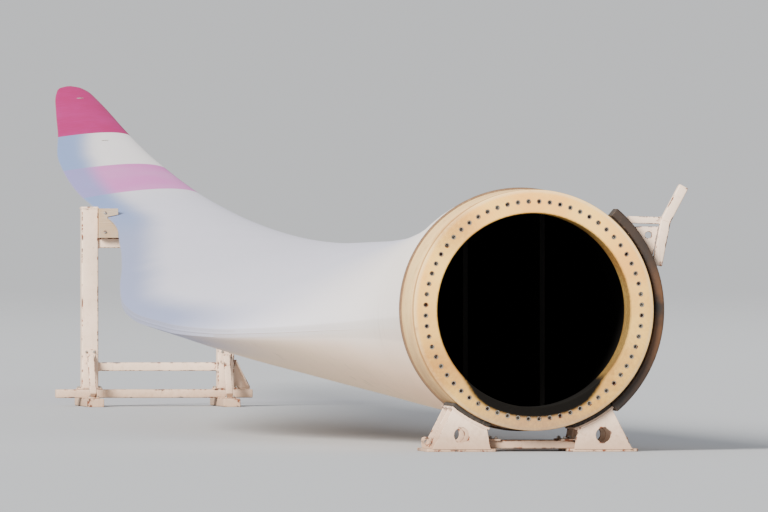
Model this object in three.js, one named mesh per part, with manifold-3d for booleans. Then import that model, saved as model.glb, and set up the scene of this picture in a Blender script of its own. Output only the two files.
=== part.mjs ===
// A wind turbine rotor blade lying on a low root stand and a tip stand, as a 1:2 scale model.
// Millimetres, +Z up. The blade runs along +Y from its root face to its tip. Its leading edge
// faces +X and its trailing edge -X. The hollow side of its curve faces up.
import * as THREE from "three";
import { mergeVertices } from "three/addons/utils/BufferGeometryUtils.js";
import Module from "manifold-3d";

const wasm = await Module();
wasm.setup();

// Every size below is that of the full-size blade or stand, in metres, turned into model millimetres.
const MODEL_SCALE = 0.5;
const metres = (size) => size * 1000 * MODEL_SCALE;
const degrees = THREE.MathUtils.degToRad;

// The clearance between faces that touch on the real object, in model millimetres.
const SEAT_GAP = 0.3;

// Blade.
const BLADE_LENGTH = metres(55);
const ROOT_RADIUS = metres(1.2);
const ROOT_CENTRE_HEIGHT = metres(1.41);
const AXIS_SLOPE = 0.003;
const TIP_RISE = metres(2.31);
const RISE_POWER = 2.6;
const SHELL_START = metres(1.3);
const SHELL_END = metres(54);
const SHELL_WALL = metres(0.055);
const WALL_SHARE_AT_TIP = 0.2;
const BOND_SHARE = 0.1;
const ROOT_EDGE_THICKNESS = metres(0.09);
const TIP_EDGE_THICKNESS = metres(0.012);
const PRESSURE_SIDE_SHARE = 0.4;
const POINTS_PER_SIDE = 15;
const SHELL_SECTIONS = 44;

// Blade stations, in metres: distance from the root, chord, and how far the leading edge lies from
// the blade's axis. thickness is a share of the chord, twist is in degrees with the leading edge
// up, and round says how much of the section is a circle and how much is an aerofoil.
const STATIONS = [
  { at: 0, chord: 2.4, lead: 1.2, thickness: 1, twist: 10, round: 1 },
  { at: 1.3, chord: 2.4, lead: 1.2, thickness: 1, twist: 10, round: 1 },
  { at: 3, chord: 2.47, lead: 1.21, thickness: 0.945, twist: 10, round: 0.78 },
  { at: 5, chord: 2.78, lead: 1.2, thickness: 0.775, twist: 9.5, round: 0.42 },
  { at: 7, chord: 3.24, lead: 1.23, thickness: 0.59, twist: 9, round: 0.18 },
  { at: 9, chord: 3.62, lead: 1.24, thickness: 0.46, twist: 8.5, round: 0.07 },
  { at: 11.5, chord: 3.82, lead: 1.21, thickness: 0.385, twist: 7.5, round: 0 },
  { at: 13.5, chord: 3.8, lead: 1.14, thickness: 0.345, twist: 6.8, round: 0 },
  { at: 16, chord: 3.64, lead: 1.04, thickness: 0.32, twist: 6, round: 0 },
  { at: 20, chord: 3.15, lead: 0.85, thickness: 0.285, twist: 4.5, round: 0 },
  { at: 25, chord: 2.48, lead: 0.66, thickness: 0.26, twist: 3, round: 0 },
  { at: 30, chord: 1.92, lead: 0.54, thickness: 0.24, twist: 2, round: 0 },
  { at: 35, chord: 1.5, lead: 0.475, thickness: 0.22, twist: 1.2, round: 0 },
  { at: 40, chord: 1.41, lead: 0.44, thickness: 0.185, twist: 0.6, round: 0 },
  { at: 45, chord: 1.2, lead: 0.44, thickness: 0.175, twist: 0.3, round: 0 },
  { at: 49, chord: 0.88, lead: 0.46, thickness: 0.175, twist: 0.1, round: 0 },
  { at: 52, chord: 0.66, lead: 0.48, thickness: 0.18, twist: 0, round: 0 },
  { at: 54, chord: 0.46, lead: 0.46, thickness: 0.18, twist: 0, round: 0 },
  { at: 54.7, chord: 0.3, lead: 0.4, thickness: 0.18, twist: 0, round: 0 },
  { at: 55, chord: 0.08, lead: 0.3, thickness: 0.18, twist: 0, round: 0 },
];

// Root laminate and the seal round it.
const RING_BORE_RADIUS = metres(0.965);
const RING_BORE_STRAIGHT = metres(0.5);
const RING_END_WALL = metres(0.06);
const RING_CHAMFER = metres(0.012);
const COLLAR_START = metres(1.16);
const COLLAR_WIDTH = metres(0.1);
const COLLAR_HEIGHT = metres(0.02);
const LATHE_STEPS = 72;

// Shear webs inside the shell.
const WEB_START = metres(2.4);
const WEB_END = metres(46);
const WEB_THICKNESS = metres(0.05);
const LEADING_WEB = { root: metres(0.36), tip: metres(0.05) };
const TRAILING_WEB = { root: metres(-0.42), tip: metres(-0.14) };

// Root stand: two welded saddles, tied across, with rubber pads under the laminate.
const SADDLE_FROM = degrees(20);
const SADDLE_TO = degrees(40);
const SADDLE_START = metres(0.12);
const SADDLE_LENGTH = metres(0.92);
const PAD_THICKNESS = metres(0.045);
const SADDLE_PLATE = metres(0.024);
const FOOT_PLATE = metres(0.03);
const FOOT_INNER = metres(0.36);
const FOOT_OUTER = metres(1.06);
const GUSSET_INNER = metres(0.42);
const GUSSET_OUTER = metres(1.0);
const GUSSET_THICKNESS = metres(0.03);
const GUSSETS_PER_SADDLE = 3;
const TIE_SIZE = metres(0.08);
const TIE_INSET = metres(0.2);

// Curved arm of the root stand up the leading side, and the handling arm that it carries.
// Angles are above level.
const SIDE_ARC_TO = degrees(50);
const SIDE_ARC_START = metres(0.1);
const SIDE_ARC_WIDTH = metres(0.34);
const SIDE_ARC_THICKNESS = metres(0.12);
const ARM_Y = SIDE_ARC_START + SIDE_ARC_WIDTH / 2;
const ARM_SIZE = metres(0.1);
const ARM_FOOT_ANGLE = degrees(18);
const ARM_LOWER = { slope: degrees(79), length: metres(0.49) };
const ARM_UPPER = { slope: degrees(62), length: metres(0.39) };
const ARM_SUNK = metres(0.12);
const BRACE_SIZE = metres(0.07);
const BRACE_FOOT_ANGLE = degrees(43);
const ARM_GUSSET_THICKNESS = metres(0.03);
const GUSSET_HOLE_SHARE = 0.42;

// Tip stand.
const STAND_Y = metres(35.7);
const TALL_POST_X = metres(-1.22);
const SHORT_POST_X = metres(0.4);
const POST_SIZE = metres(0.2);
const TALL_POST_TOP = metres(2.37);
const BASE_LEFT = metres(-1.62);
const BASE_RIGHT = metres(0.72);
const BASE_BEAM_WIDTH = metres(0.2);
const BASE_BEAM_HEIGHT = metres(0.1);
const SKID_WIDTH = metres(0.2);
const SKID_HEIGHT = metres(0.1);
const SKID_LENGTH = metres(1.7);
const BASE_TOP = SKID_HEIGHT + BASE_BEAM_HEIGHT + SEAT_GAP;
const LOW_BAR_HEIGHT = metres(0.52);
const LOW_BAR_SIZE = metres(0.1);
const SADDLE_BEAM_TOP = metres(2);
const SADDLE_BEAM_SIZE = metres(0.12);
const KNEE_SIZE = metres(0.08);
const KNEE_RUN = metres(0.5);
const KNEE_RISE = metres(0.62);
const OUTER_KNEE_RUN = metres(0.2);
const OUTER_KNEE_RISE = metres(0.42);
const CRADLE_FROM = metres(-0.74);
const CRADLE_TO = metres(0.38);
const CRADLE_LENGTH = metres(0.5);
const CRADLE_LINING = metres(0.03);
const EDGE_GUARD_LENGTH = metres(0.4);
const EDGE_GUARD_ABOVE = metres(0.1);
const EDGE_GUARD_REACH = metres(0.12);

// Materials, coloured from the photograph.
const gelcoat = new THREE.MeshStandardMaterial({ color: 0xdedfe3, roughness: 0.35 });
const laminate = new THREE.MeshStandardMaterial({ color: 0xd9bf94, roughness: 0.7 });
const signalRed = new THREE.MeshStandardMaterial({ color: 0xc4204f, roughness: 0.4 });
const blackRubber = new THREE.MeshStandardMaterial({ color: 0x1d1c1b, roughness: 0.85 });
const foamCore = new THREE.MeshStandardMaterial({ color: 0xb9b39a, roughness: 0.9 });
const paintedSteel = new THREE.MeshStandardMaterial({ color: 0xe8dfd6, roughness: 0.5, metalness: 0.2 });
const darkPaint = new THREE.MeshStandardMaterial({ color: 0x221f1e, roughness: 0.6, metalness: 0.2 });
const timber = new THREE.MeshStandardMaterial({ color: 0x9a7a4c, roughness: 0.85 });

const blade = new THREE.Group();
const rootStand = new THREE.Group();
const tipStand = new THREE.Group();

// Adds a mesh with its own copy of the material to a group, at a place and a turn.
function addPiece(group, name, geometry, material, place = [0, 0, 0], turn = [0, 0, 0]) {
  const mesh = new THREE.Mesh(geometry, material.clone());
  mesh.name = name;
  mesh.position.set(...place);
  mesh.rotation.set(...turn);
  group.add(mesh);
  return mesh;
}

// A closed geometry as a solid for joining and cutting.
function toSolid(geometry) {
  const bare = geometry.clone();
  bare.deleteAttribute("normal");
  bare.deleteAttribute("uv");
  const merged = mergeVertices(bare, 1e-3);
  const vertProperties = new Float32Array(merged.attributes.position.array);
  const triVerts = new Uint32Array(merged.index.array);
  return new wasm.Manifold(new wasm.Mesh({ numProp: 3, vertProperties, triVerts }));
}

// A solid's surface as a geometry with flat faces.
function toGeometry(solid) {
  const mesh = solid.getMesh();
  const geometry = new THREE.BufferGeometry();
  geometry.setAttribute("position", new THREE.BufferAttribute(mesh.vertProperties, 3));
  geometry.setIndex(new THREE.BufferAttribute(mesh.triVerts, 1));
  const flat = geometry.toNonIndexed();
  flat.computeVertexNormals();
  return flat;
}

// A box between two corners.
function boxBetween(low, high) {
  const size = high.map((value, i) => value - low[i]);
  const centre = high.map((value, i) => (value + low[i]) / 2);
  return new THREE.BoxGeometry(...size).translate(...centre);
}

// A square tube from one point to another, its sides level with X where it isn't upright.
function barBetween(from, to, width, depth = width) {
  const start = new THREE.Vector3(...from);
  const along = new THREE.Vector3(...to).sub(start);
  const geometry = new THREE.BoxGeometry(width, depth, along.length());
  const turn = new THREE.Quaternion().setFromUnitVectors(
    new THREE.Vector3(0, 0, 1),
    along.clone().normalize(),
  );
  geometry.applyQuaternion(turn);
  return geometry.translate(...start.addScaledVector(along, 0.5).toArray());
}

// A flat outline in X and Z, extruded along +Y from y by depth.
function plateAlongY(points, y, depth) {
  const shape = new THREE.Shape(points.map(([x, z]) => new THREE.Vector2(x, z)));
  const geometry = new THREE.ExtrudeGeometry(shape, { depth, bevelEnabled: false });
  return geometry.rotateX(Math.PI / 2).translate(0, y + depth, 0);
}

// A smooth curve through a column of the stations table that never overshoots it:
// cubic pieces whose slopes are the harmonic means of the neighbouring slopes.
function stationCurve(column) {
  const at = STATIONS.map((station) => metres(station.at));
  const value = STATIONS.map((station) => station[column]);
  const rise = at.slice(1).map((x, i) => (value[i + 1] - value[i]) / (x - at[i]));
  const slope = at.map((_, i) => {
    if (i === 0 || i === at.length - 1) return rise[Math.min(i, rise.length - 1)];
    const [before, after] = [rise[i - 1], rise[i]];
    return before * after <= 0 ? 0 : (2 * before * after) / (before + after);
  });
  return (y) => {
    let i = at.findIndex((x) => x >= y);
    i = THREE.MathUtils.clamp(i - 1, 0, at.length - 2);
    const span = at[i + 1] - at[i];
    const t = THREE.MathUtils.clamp((y - at[i]) / span, 0, 1);
    const held = value[i] * (2 * t ** 3 - 3 * t ** 2 + 1) + value[i + 1] * (3 * t ** 2 - 2 * t ** 3);
    return held + span * (slope[i] * (t ** 3 - 2 * t ** 2 + t) + slope[i + 1] * (t ** 3 - t ** 2));
  };
}

const chordAt = stationCurve("chord");
const leadAt = stationCurve("lead");
const thicknessAt = stationCurve("thickness");
const twistAt = stationCurve("twist");
const roundAt = stationCurve("round");

// Height of the blade's axis: a slight slope plus a bend that grows towards the tip.
function axisHeight(y) {
  return ROOT_CENTRE_HEIGHT + AXIS_SLOPE * y + TIP_RISE * (y / BLADE_LENGTH) ** RISE_POWER;
}

// Half of a section's thickness at share s of its chord, for a section of unit thickness:
// a circle at the root that blends into an aerofoil.
function halfThickness(s, roundness) {
  const aerofoil =
    5 * (0.2969 * Math.sqrt(s) - 0.126 * s - 0.3516 * s ** 2 + 0.2843 * s ** 3 - 0.1036 * s ** 4);
  const circle = Math.sqrt(Math.max(0, 0.25 - (s - 0.5) ** 2));
  return aerofoil * (1 - roundness) + circle * roundness;
}

// The wall of the shell, which thins with the blade towards the tip.
function wallAt(y) {
  return Math.min(SHELL_WALL, WALL_SHARE_AT_TIP * thicknessAt(y) * metres(chordAt(y)));
}

// The section at y, made smaller all round by inset: { top, bottom, edge }, each a list of
// points in X and Z. top and bottom run from the leading edge to the trailing edge, and
// edge holds the chord line's two ends. bond is the length given up at a hollow's rear end.
function sectionAt(y, inset, bond = 0) {
  const round = roundAt(y);
  const full = metres(chordAt(y));
  const chord = full - 2 * inset - bond * (1 - round);
  const depth = thicknessAt(y) * full;
  const turn = degrees(twistAt(y));
  const front = metres(leadAt(y)) - inset;
  const sharpness = THREE.MathUtils.smoothstep(y, metres(11), metres(35));
  const edge = THREE.MathUtils.lerp(ROOT_EDGE_THICKNESS, TIP_EDGE_THICKNESS, sharpness) * (1 - round);
  const edgeHalf = inset > 0 ? SEAT_GAP : Math.max(Math.min(edge, depth / 3) / 2, 2 * SEAT_GAP);
  const topShare = THREE.MathUtils.lerp(PRESSURE_SIDE_SHARE, 0.5, round);
  const place = (s, z) => {
    const x = front - s * chord;
    return [
      x * Math.cos(turn) - z * Math.sin(turn),
      x * Math.sin(turn) + z * Math.cos(turn) + axisHeight(y),
      (inset + s * chord) / full,
    ];
  };
  const side = (share, sign) =>
    Array.from({ length: POINTS_PER_SIDE + 1 }, (_, i) => {
      const s = (1 - Math.cos((Math.PI * i) / POINTS_PER_SIDE)) / 2;
      const bulge = 2 * (share * depth - inset) * halfThickness(s, round);
      return place(s, sign * (bulge + s ** 2 * edgeHalf));
    });
  return { top: side(topShare, 1), bottom: side(1 - topShare, -1), place };
}

// Distances along the blade at which its sections are set, closer together near the root.
function sectionPlaces(from, to, count) {
  return Array.from({ length: count + 1 }, (_, i) => {
    const t = i / count;
    return from + (to - from) * (0.55 * t + 0.45 * t ** 2);
  });
}

// A solid through a row of closed rings of points, all with the same count: rings is a list
// of { y, ring }, with each ring running anticlockwise as seen from the root. Each point is
// [x, z, share], and the four-cornered faces are all split the same way across the chord.
function loft(rings) {
  const count = rings[0].ring.length;
  const position = rings.flatMap(({ y, ring }) => ring.flatMap(([x, z]) => [x, y, z]));
  const index = [];
  for (let row = 0; row < rings.length - 1; row += 1) {
    for (let i = 0; i < count; i += 1) {
      const next = (i + 1) % count;
      const [a, b] = [row * count + i, row * count + next];
      const [c, d] = [a + count, b + count];
      const { ring } = rings[row];
      if (ring[i][2] < ring[next][2]) index.push(a, c, b, b, c, d);
      else index.push(a, c, d, a, d, b);
    }
  }
  const last = (rings.length - 1) * count;
  for (const [start, flip] of [
    [0, false],
    [last, true],
  ]) {
    const contour = rings[start / count].ring.map(([x, z]) => new THREE.Vector2(x, z));
    for (const [a, b, c] of THREE.ShapeUtils.triangulateShape(contour, [])) {
      index.push(start + a, start + (flip ? c : b), start + (flip ? b : c));
    }
  }
  const geometry = new THREE.BufferGeometry();
  geometry.setAttribute("position", new THREE.Float32BufferAttribute(position, 3));
  geometry.setIndex(index);
  const flat = geometry.toNonIndexed();
  flat.computeVertexNormals();
  return flat;
}

// The whole blade body between two distances, made smaller by the result of inset(y).
function bodySolid(from, to, count, inset, bond = () => 0) {
  const rings = sectionPlaces(from, to, count).map((y) => {
    const { top, bottom } = sectionAt(y, inset(y), bond(y));
    return { y, ring: [...top, ...bottom.slice(1).reverse()] };
  });
  return toSolid(loft(rings));
}

const bondAt = (y) => BOND_SHARE * metres(chordAt(y));

// One half of the shell: its outer skin, its hollow side and the two bonded edges.
function halfShell(side) {
  const rings = sectionPlaces(SHELL_START, SHELL_END, SHELL_SECTIONS).map((y) => {
    const outer = sectionAt(y, 0);
    const inner = sectionAt(y, wallAt(y), bondAt(y));
    const lift = side === "top" ? SEAT_GAP / 2 : -SEAT_GAP / 2;
    const skin = outer[side].slice();
    const hollow = inner[side].slice();
    skin[0] = outer.place(0, lift);
    hollow[0] = inner.place(0, lift);
    hollow[POINTS_PER_SIDE] = inner.place(1, lift);
    const ring = [...skin, outer.place(1, lift), ...hollow.reverse()];
    return { y, ring: side === "top" ? ring : ring.reverse() };
  });
  return loft(rings);
}

// A web: a thin upright plate that narrows in towards the blade's axis, cut to the hollow.
function shearWeb(line) {
  const half = WEB_THICKNESS / 2;
  const reach = metres(3);
  const outline = new THREE.Shape([
    new THREE.Vector2(line.root - half, WEB_START),
    new THREE.Vector2(line.root + half, WEB_START),
    new THREE.Vector2(line.tip + half / 2, WEB_END),
    new THREE.Vector2(line.tip - half / 2, WEB_END),
  ]);
  const plate = new THREE.ExtrudeGeometry(outline, { depth: reach * 2, bevelEnabled: false });
  const hollow = bodySolid(
    SHELL_START,
    SHELL_END,
    SHELL_SECTIONS,
    (y) => wallAt(y) + SEAT_GAP,
    bondAt,
  );
  return toGeometry(toSolid(plate).intersect(hollow));
}

// A ring round the blade's root, from a closed outline of [radius, y] points.
function rootRing(outline) {
  const points = [...outline, outline[0]].map(([radius, y]) => new THREE.Vector2(radius, y));
  return new THREE.LatheGeometry(points, LATHE_STEPS).translate(0, 0, ROOT_CENTRE_HEIGHT);
}

function addBlade() {
  const ringEnd = SHELL_START - SEAT_GAP;
  const laminateRing = rootRing([
    [RING_BORE_RADIUS, 0],
    [RING_BORE_RADIUS, RING_BORE_STRAIGHT],
    [ROOT_RADIUS - RING_END_WALL, ringEnd],
    [ROOT_RADIUS, ringEnd],
    [ROOT_RADIUS, RING_CHAMFER],
    [ROOT_RADIUS - RING_CHAMFER, 0],
  ].reverse());
  addPiece(blade, "root_laminate", laminateRing, laminate);

  const sealBottom = ROOT_RADIUS + SEAT_GAP;
  const seal = rootRing([
    [sealBottom, COLLAR_START],
    [sealBottom, COLLAR_START + COLLAR_WIDTH],
    [sealBottom + COLLAR_HEIGHT, COLLAR_START + COLLAR_WIDTH * 0.8],
    [sealBottom + COLLAR_HEIGHT, COLLAR_START + COLLAR_WIDTH * 0.35],
  ].reverse());
  addPiece(blade, "root_seal", seal, blackRubber);

  addPiece(blade, "pressure_shell", halfShell("top"), gelcoat);
  addPiece(blade, "suction_shell", halfShell("bottom"), gelcoat);
  addPiece(blade, "leading_web", shearWeb(LEADING_WEB), foamCore);
  addPiece(blade, "trailing_web", shearWeb(TRAILING_WEB), foamCore);

  const tip = bodySolid(SHELL_END + SEAT_GAP, BLADE_LENGTH, 6, () => 0);
  addPiece(blade, "tip_cap", toGeometry(tip), signalRed);
}

// An arc round the root's centre as [x, z] points, with the root's own facets. Angles run
// from straight down towards +X.
function arcBelow(radius, from, to) {
  const steps = Math.round(((to - from) / (2 * Math.PI)) * LATHE_STEPS);
  return Array.from({ length: steps + 1 }, (_, i) => {
    const angle = from + ((to - from) * i) / steps;
    return [radius * Math.sin(angle), ROOT_CENTRE_HEIGHT - radius * Math.cos(angle)];
  });
}

// A curved plate round the root between two radii.
function curvedPlate(inner, outer, from, to, y, depth) {
  const outline = [...arcBelow(outer, from, to), ...arcBelow(inner, from, to).reverse()];
  return plateAlongY(outline, y, depth);
}

// One saddle of the root stand: a foot plate, upright gussets and the curved plate they carry.
function rootSaddle() {
  const plateInner = ROOT_RADIUS + PAD_THICKNESS + SEAT_GAP * 2;
  const plateOuter = plateInner + SADDLE_PLATE;
  const foot = boxBetween(
    [FOOT_INNER, SADDLE_START, 0],
    [FOOT_OUTER, SADDLE_START + SADDLE_LENGTH, FOOT_PLATE],
  );
  let solid = toSolid(foot).add(
    toSolid(curvedPlate(plateInner, plateOuter, SADDLE_FROM, SADDLE_TO, SADDLE_START, SADDLE_LENGTH)),
  );
  const sunk = 1;
  const outline = [
    [GUSSET_OUTER, FOOT_PLATE - sunk],
    ...arcBelow(plateOuter - sunk, SADDLE_FROM, SADDLE_TO).reverse(),
    [GUSSET_INNER, FOOT_PLATE - sunk],
  ];
  for (let i = 0; i < GUSSETS_PER_SADDLE; i += 1) {
    const share = i / (GUSSETS_PER_SADDLE - 1);
    const y = SADDLE_START + share * (SADDLE_LENGTH - GUSSET_THICKNESS);
    solid = solid.add(toSolid(plateAlongY(outline, y, GUSSET_THICKNESS)));
  }
  return solid;
}

function addRootStand() {
  const saddle = rootSaddle();
  const pad = toSolid(
    curvedPlate(
      ROOT_RADIUS + SEAT_GAP,
      ROOT_RADIUS + SEAT_GAP + PAD_THICKNESS,
      SADDLE_FROM,
      SADDLE_TO,
      SADDLE_START,
      SADDLE_LENGTH,
    ),
  );
  for (const [side, sign] of [
    ["right", 1],
    ["left", -1],
  ]) {
    const turned = (solid) => (sign > 0 ? solid : solid.mirror([1, 0, 0]));
    addPiece(rootStand, `root_saddle_${side}`, toGeometry(turned(saddle)), paintedSteel);
    addPiece(rootStand, `root_pad_${side}`, toGeometry(turned(pad)), blackRubber);
  }
  const tieReach = FOOT_INNER + metres(0.1);
  for (const [place, y] of [
    ["front", SADDLE_START + TIE_INSET],
    ["rear", SADDLE_START + SADDLE_LENGTH - TIE_INSET],
  ]) {
    const tie = boxBetween(
      [-tieReach, y - TIE_SIZE / 2, FOOT_PLATE + SEAT_GAP],
      [tieReach, y + TIE_SIZE / 2, FOOT_PLATE + SEAT_GAP + TIE_SIZE],
    );
    addPiece(rootStand, `root_tie_${place}`, tie, paintedSteel);
  }
}

// A point on the root's side at an angle above level, at a radius from its centre.
function pointOnSide(angle, radius) {
  return [radius * Math.cos(angle), ARM_Y, ROOT_CENTRE_HEIGHT + radius * Math.sin(angle)];
}

function addSideArcAndArm() {
  const quarter = Math.PI / 2;
  const arcInner = ROOT_RADIUS + SEAT_GAP;
  const arcOuter = arcInner + SIDE_ARC_THICKNESS;
  const sideArc = curvedPlate(
    arcInner,
    arcOuter,
    SADDLE_TO + SEAT_GAP / ROOT_RADIUS,
    quarter + SIDE_ARC_TO,
    SIDE_ARC_START,
    SIDE_ARC_WIDTH,
  );
  addPiece(rootStand, "side_arc", sideArc, darkPaint);

  // The space that the root and the side arc take up, from which the arm's pieces are kept clear.
  const around = toSolid(
    curvedPlate(
      ROOT_RADIUS / 2,
      arcOuter + SEAT_GAP,
      quarter - degrees(30),
      quarter + degrees(90),
      ARM_Y - SIDE_ARC_WIDTH,
      SIDE_ARC_WIDTH * 2,
    ),
  );
  // The arm stands on the side arc, sunk into it before it is cut, and bends where the brace meets it.
  const foot = pointOnSide(ARM_FOOT_ANGLE, arcOuter);
  const beyond = (point, slope, length) => [
    point[0] + length * Math.cos(slope),
    ARM_Y,
    point[2] + length * Math.sin(slope),
  ];
  const sunkFoot = beyond(foot, ARM_LOWER.slope, -ARM_SUNK);
  const bend = beyond(foot, ARM_LOWER.slope, ARM_LOWER.length);
  const armTop = beyond(bend, ARM_UPPER.slope, ARM_UPPER.length);
  const overlap = beyond(bend, ARM_UPPER.slope, -ARM_SIZE / 4);
  const arm = (size) =>
    toSolid(barBetween(sunkFoot, bend, size)).add(toSolid(barBetween(overlap, armTop, size)));
  const armSolid = arm(ARM_SIZE).subtract(around);
  addPiece(rootStand, "handling_arm", toGeometry(largestPart(armSolid)), paintedSteel);

  const braceFoot = pointOnSide(BRACE_FOOT_ANGLE, ROOT_RADIUS);
  const brace = (size) => toSolid(barBetween(braceFoot, bend, size));
  const clearOfArm = arm(ARM_SIZE + 2 * SEAT_GAP);
  const braceSolid = brace(BRACE_SIZE).subtract(around).subtract(clearOfArm);
  addPiece(rootStand, "arm_brace", toGeometry(largestPart(braceSolid)), paintedSteel);

  // The gusset fills the triangle between arc, arm and brace, and has a three-cornered hole.
  const corners = [foot, bend, braceFoot].map(([x, , z]) => [x, z]);
  const middle = [0, 1].map((axis) => corners.reduce((sum, corner) => sum + corner[axis], 0) / 3);
  const holeCentre = [(middle[0] * 2 + bend[0]) / 3, (middle[1] * 2 + bend[2]) / 3];
  const hole = corners.map((corner) =>
    corner.map((value, axis) => holeCentre[axis] + (value - middle[axis]) * GUSSET_HOLE_SHARE),
  );
  const gusset = toSolid(plateAlongY(corners, ARM_Y - ARM_GUSSET_THICKNESS / 2, ARM_GUSSET_THICKNESS))
    .subtract(around)
    .subtract(clearOfArm)
    .subtract(brace(BRACE_SIZE + 2 * SEAT_GAP))
    .subtract(toSolid(plateAlongY(hole, ARM_Y - ARM_SIZE, 2 * ARM_SIZE)));
  addPiece(rootStand, "arm_gusset", toGeometry(largestPart(gusset)), paintedSteel);
}

// The biggest of a solid's separate parts.
function largestPart(solid) {
  return solid.decompose().sort((a, b) => b.volume() - a.volume())[0];
}

function addTipStandBase() {
  for (const [side, x] of [
    ["left", TALL_POST_X],
    ["right", SHORT_POST_X],
  ]) {
    const skid = boxBetween(
      [x - SKID_WIDTH / 2, STAND_Y - SKID_LENGTH / 2, 0],
      [x + SKID_WIDTH / 2, STAND_Y + SKID_LENGTH / 2, SKID_HEIGHT],
    );
    addPiece(tipStand, `skid_${side}`, skid, paintedSteel);
  }
  const beam = boxBetween(
    [BASE_LEFT, STAND_Y - BASE_BEAM_WIDTH / 2, SKID_HEIGHT + SEAT_GAP],
    [BASE_RIGHT, STAND_Y + BASE_BEAM_WIDTH / 2, BASE_TOP],
  );
  addPiece(tipStand, "base_beam", beam, paintedSteel);
}

// A sloping brace between two points, trimmed to the box between two corners.
function trimmedBrace(name, low, high, lowCorner, highCorner) {
  const solid = toSolid(barBetween(low, high, KNEE_SIZE)).intersect(
    toSolid(boxBetween(lowCorner, highCorner)),
  );
  addPiece(tipStand, name, toGeometry(solid), paintedSteel);
}

function addTipStandPosts() {
  const foot = BASE_TOP + SEAT_GAP;
  const shortTop = SADDLE_BEAM_TOP - SADDLE_BEAM_SIZE - SEAT_GAP;
  const half = POST_SIZE / 2;
  const far = metres(2);
  const beamSide = BASE_BEAM_WIDTH / 2 + SEAT_GAP;
  for (const [side, x, top] of [
    ["left", TALL_POST_X, TALL_POST_TOP],
    ["right", SHORT_POST_X, shortTop],
  ]) {
    const post = boxBetween([x - half, STAND_Y - half, foot], [x + half, STAND_Y + half, top]);
    addPiece(tipStand, `post_${side}`, post, paintedSteel);
    for (const [place, sign] of [
      ["front", -1],
      ["rear", 1],
    ]) {
      const near = STAND_Y + sign * Math.max(half + SEAT_GAP, beamSide);
      const limit = STAND_Y + sign * far;
      trimmedBrace(
        `knee_${side}_${place}`,
        [x, STAND_Y + sign * (half + KNEE_RUN), SKID_HEIGHT - KNEE_SIZE / 2],
        [x, STAND_Y + sign * (half - KNEE_SIZE), SKID_HEIGHT + KNEE_RISE],
        [x - half, Math.min(near, limit), SKID_HEIGHT + SEAT_GAP],
        [x + half, Math.max(near, limit), far],
      );
    }
  }
  const postSide = SHORT_POST_X + half;
  trimmedBrace(
    "knee_right_outer",
    [postSide + OUTER_KNEE_RUN, STAND_Y, foot - KNEE_SIZE],
    [postSide - KNEE_SIZE, STAND_Y, foot + OUTER_KNEE_RISE],
    [postSide + SEAT_GAP, STAND_Y - half, foot],
    [postSide + far, STAND_Y + half, far],
  );
  const barFrom = TALL_POST_X + half + SEAT_GAP;
  const barTo = SHORT_POST_X - half - SEAT_GAP;
  const lowBar = boxBetween(
    [barFrom, STAND_Y - LOW_BAR_SIZE / 2, LOW_BAR_HEIGHT - LOW_BAR_SIZE],
    [barTo, STAND_Y + LOW_BAR_SIZE / 2, LOW_BAR_HEIGHT],
  );
  addPiece(tipStand, "low_bar", lowBar, paintedSteel);
  const beam = boxBetween(
    [barFrom, STAND_Y - SADDLE_BEAM_SIZE / 2, SADDLE_BEAM_TOP - SADDLE_BEAM_SIZE],
    [SHORT_POST_X + half, STAND_Y + SADDLE_BEAM_SIZE / 2, SADDLE_BEAM_TOP],
  );
  addPiece(tipStand, "saddle_beam", beam, paintedSteel);
}

function addTipCradle() {
  const bladeGrownBy = (growth) =>
    bodySolid(SHELL_START, SHELL_END, SHELL_SECTIONS, () => -growth);
  const bottom = SADDLE_BEAM_TOP + SEAT_GAP;
  const top = axisHeight(STAND_Y);
  const from = STAND_Y - CRADLE_LENGTH / 2;
  const to = STAND_Y + CRADLE_LENGTH / 2;
  const block = toSolid(boxBetween([CRADLE_FROM, from, bottom], [CRADLE_TO, to, top]));
  const lined = bladeGrownBy(SEAT_GAP + CRADLE_LINING);
  const cradle = largestPart(block.subtract(lined));
  addPiece(tipStand, "cradle_block", toGeometry(cradle), timber);
  const lining = block.intersect(bladeGrownBy(CRADLE_LINING)).subtract(bladeGrownBy(SEAT_GAP));
  addPiece(tipStand, "cradle_lining", toGeometry(largestPart(lining)), blackRubber);

  // The guard stands on the beam, between the post and the trailing edge, which it takes in.
  const guardInner = sectionAt(STAND_Y, 0).place(1, 0);
  const guard = toSolid(
    boxBetween(
      [
        TALL_POST_X + POST_SIZE / 2 + SEAT_GAP,
        STAND_Y - EDGE_GUARD_LENGTH / 2,
        bottom,
      ],
      [
        guardInner[0] + EDGE_GUARD_REACH,
        STAND_Y + EDGE_GUARD_LENGTH / 2,
        guardInner[1] + EDGE_GUARD_ABOVE,
      ],
    ),
  ).subtract(bladeGrownBy(SEAT_GAP));
  addPiece(tipStand, "edge_guard", toGeometry(largestPart(guard)), timber);
}

addBlade();
addRootStand();
addSideArcAndArm();
addTipStandBase();
addTipStandPosts();
addTipCradle();

const part = new THREE.Group();
part.add(blade, rootStand, tipStand);

// The origin goes to the middle of the footprint, on the ground.
const bounds = new THREE.Box3().setFromObject(part);
const middle = bounds.getCenter(new THREE.Vector3());
part.position.set(-middle.x, -middle.y, -bounds.min.z);

export default part;
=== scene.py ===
import logging
import math
from collections.abc import Sequence
from dataclasses import dataclass, field
from enum import Enum

import bmesh
import bpy
import numpy as np
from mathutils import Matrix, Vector
from mathutils.geometry import tessellate_polygon


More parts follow.
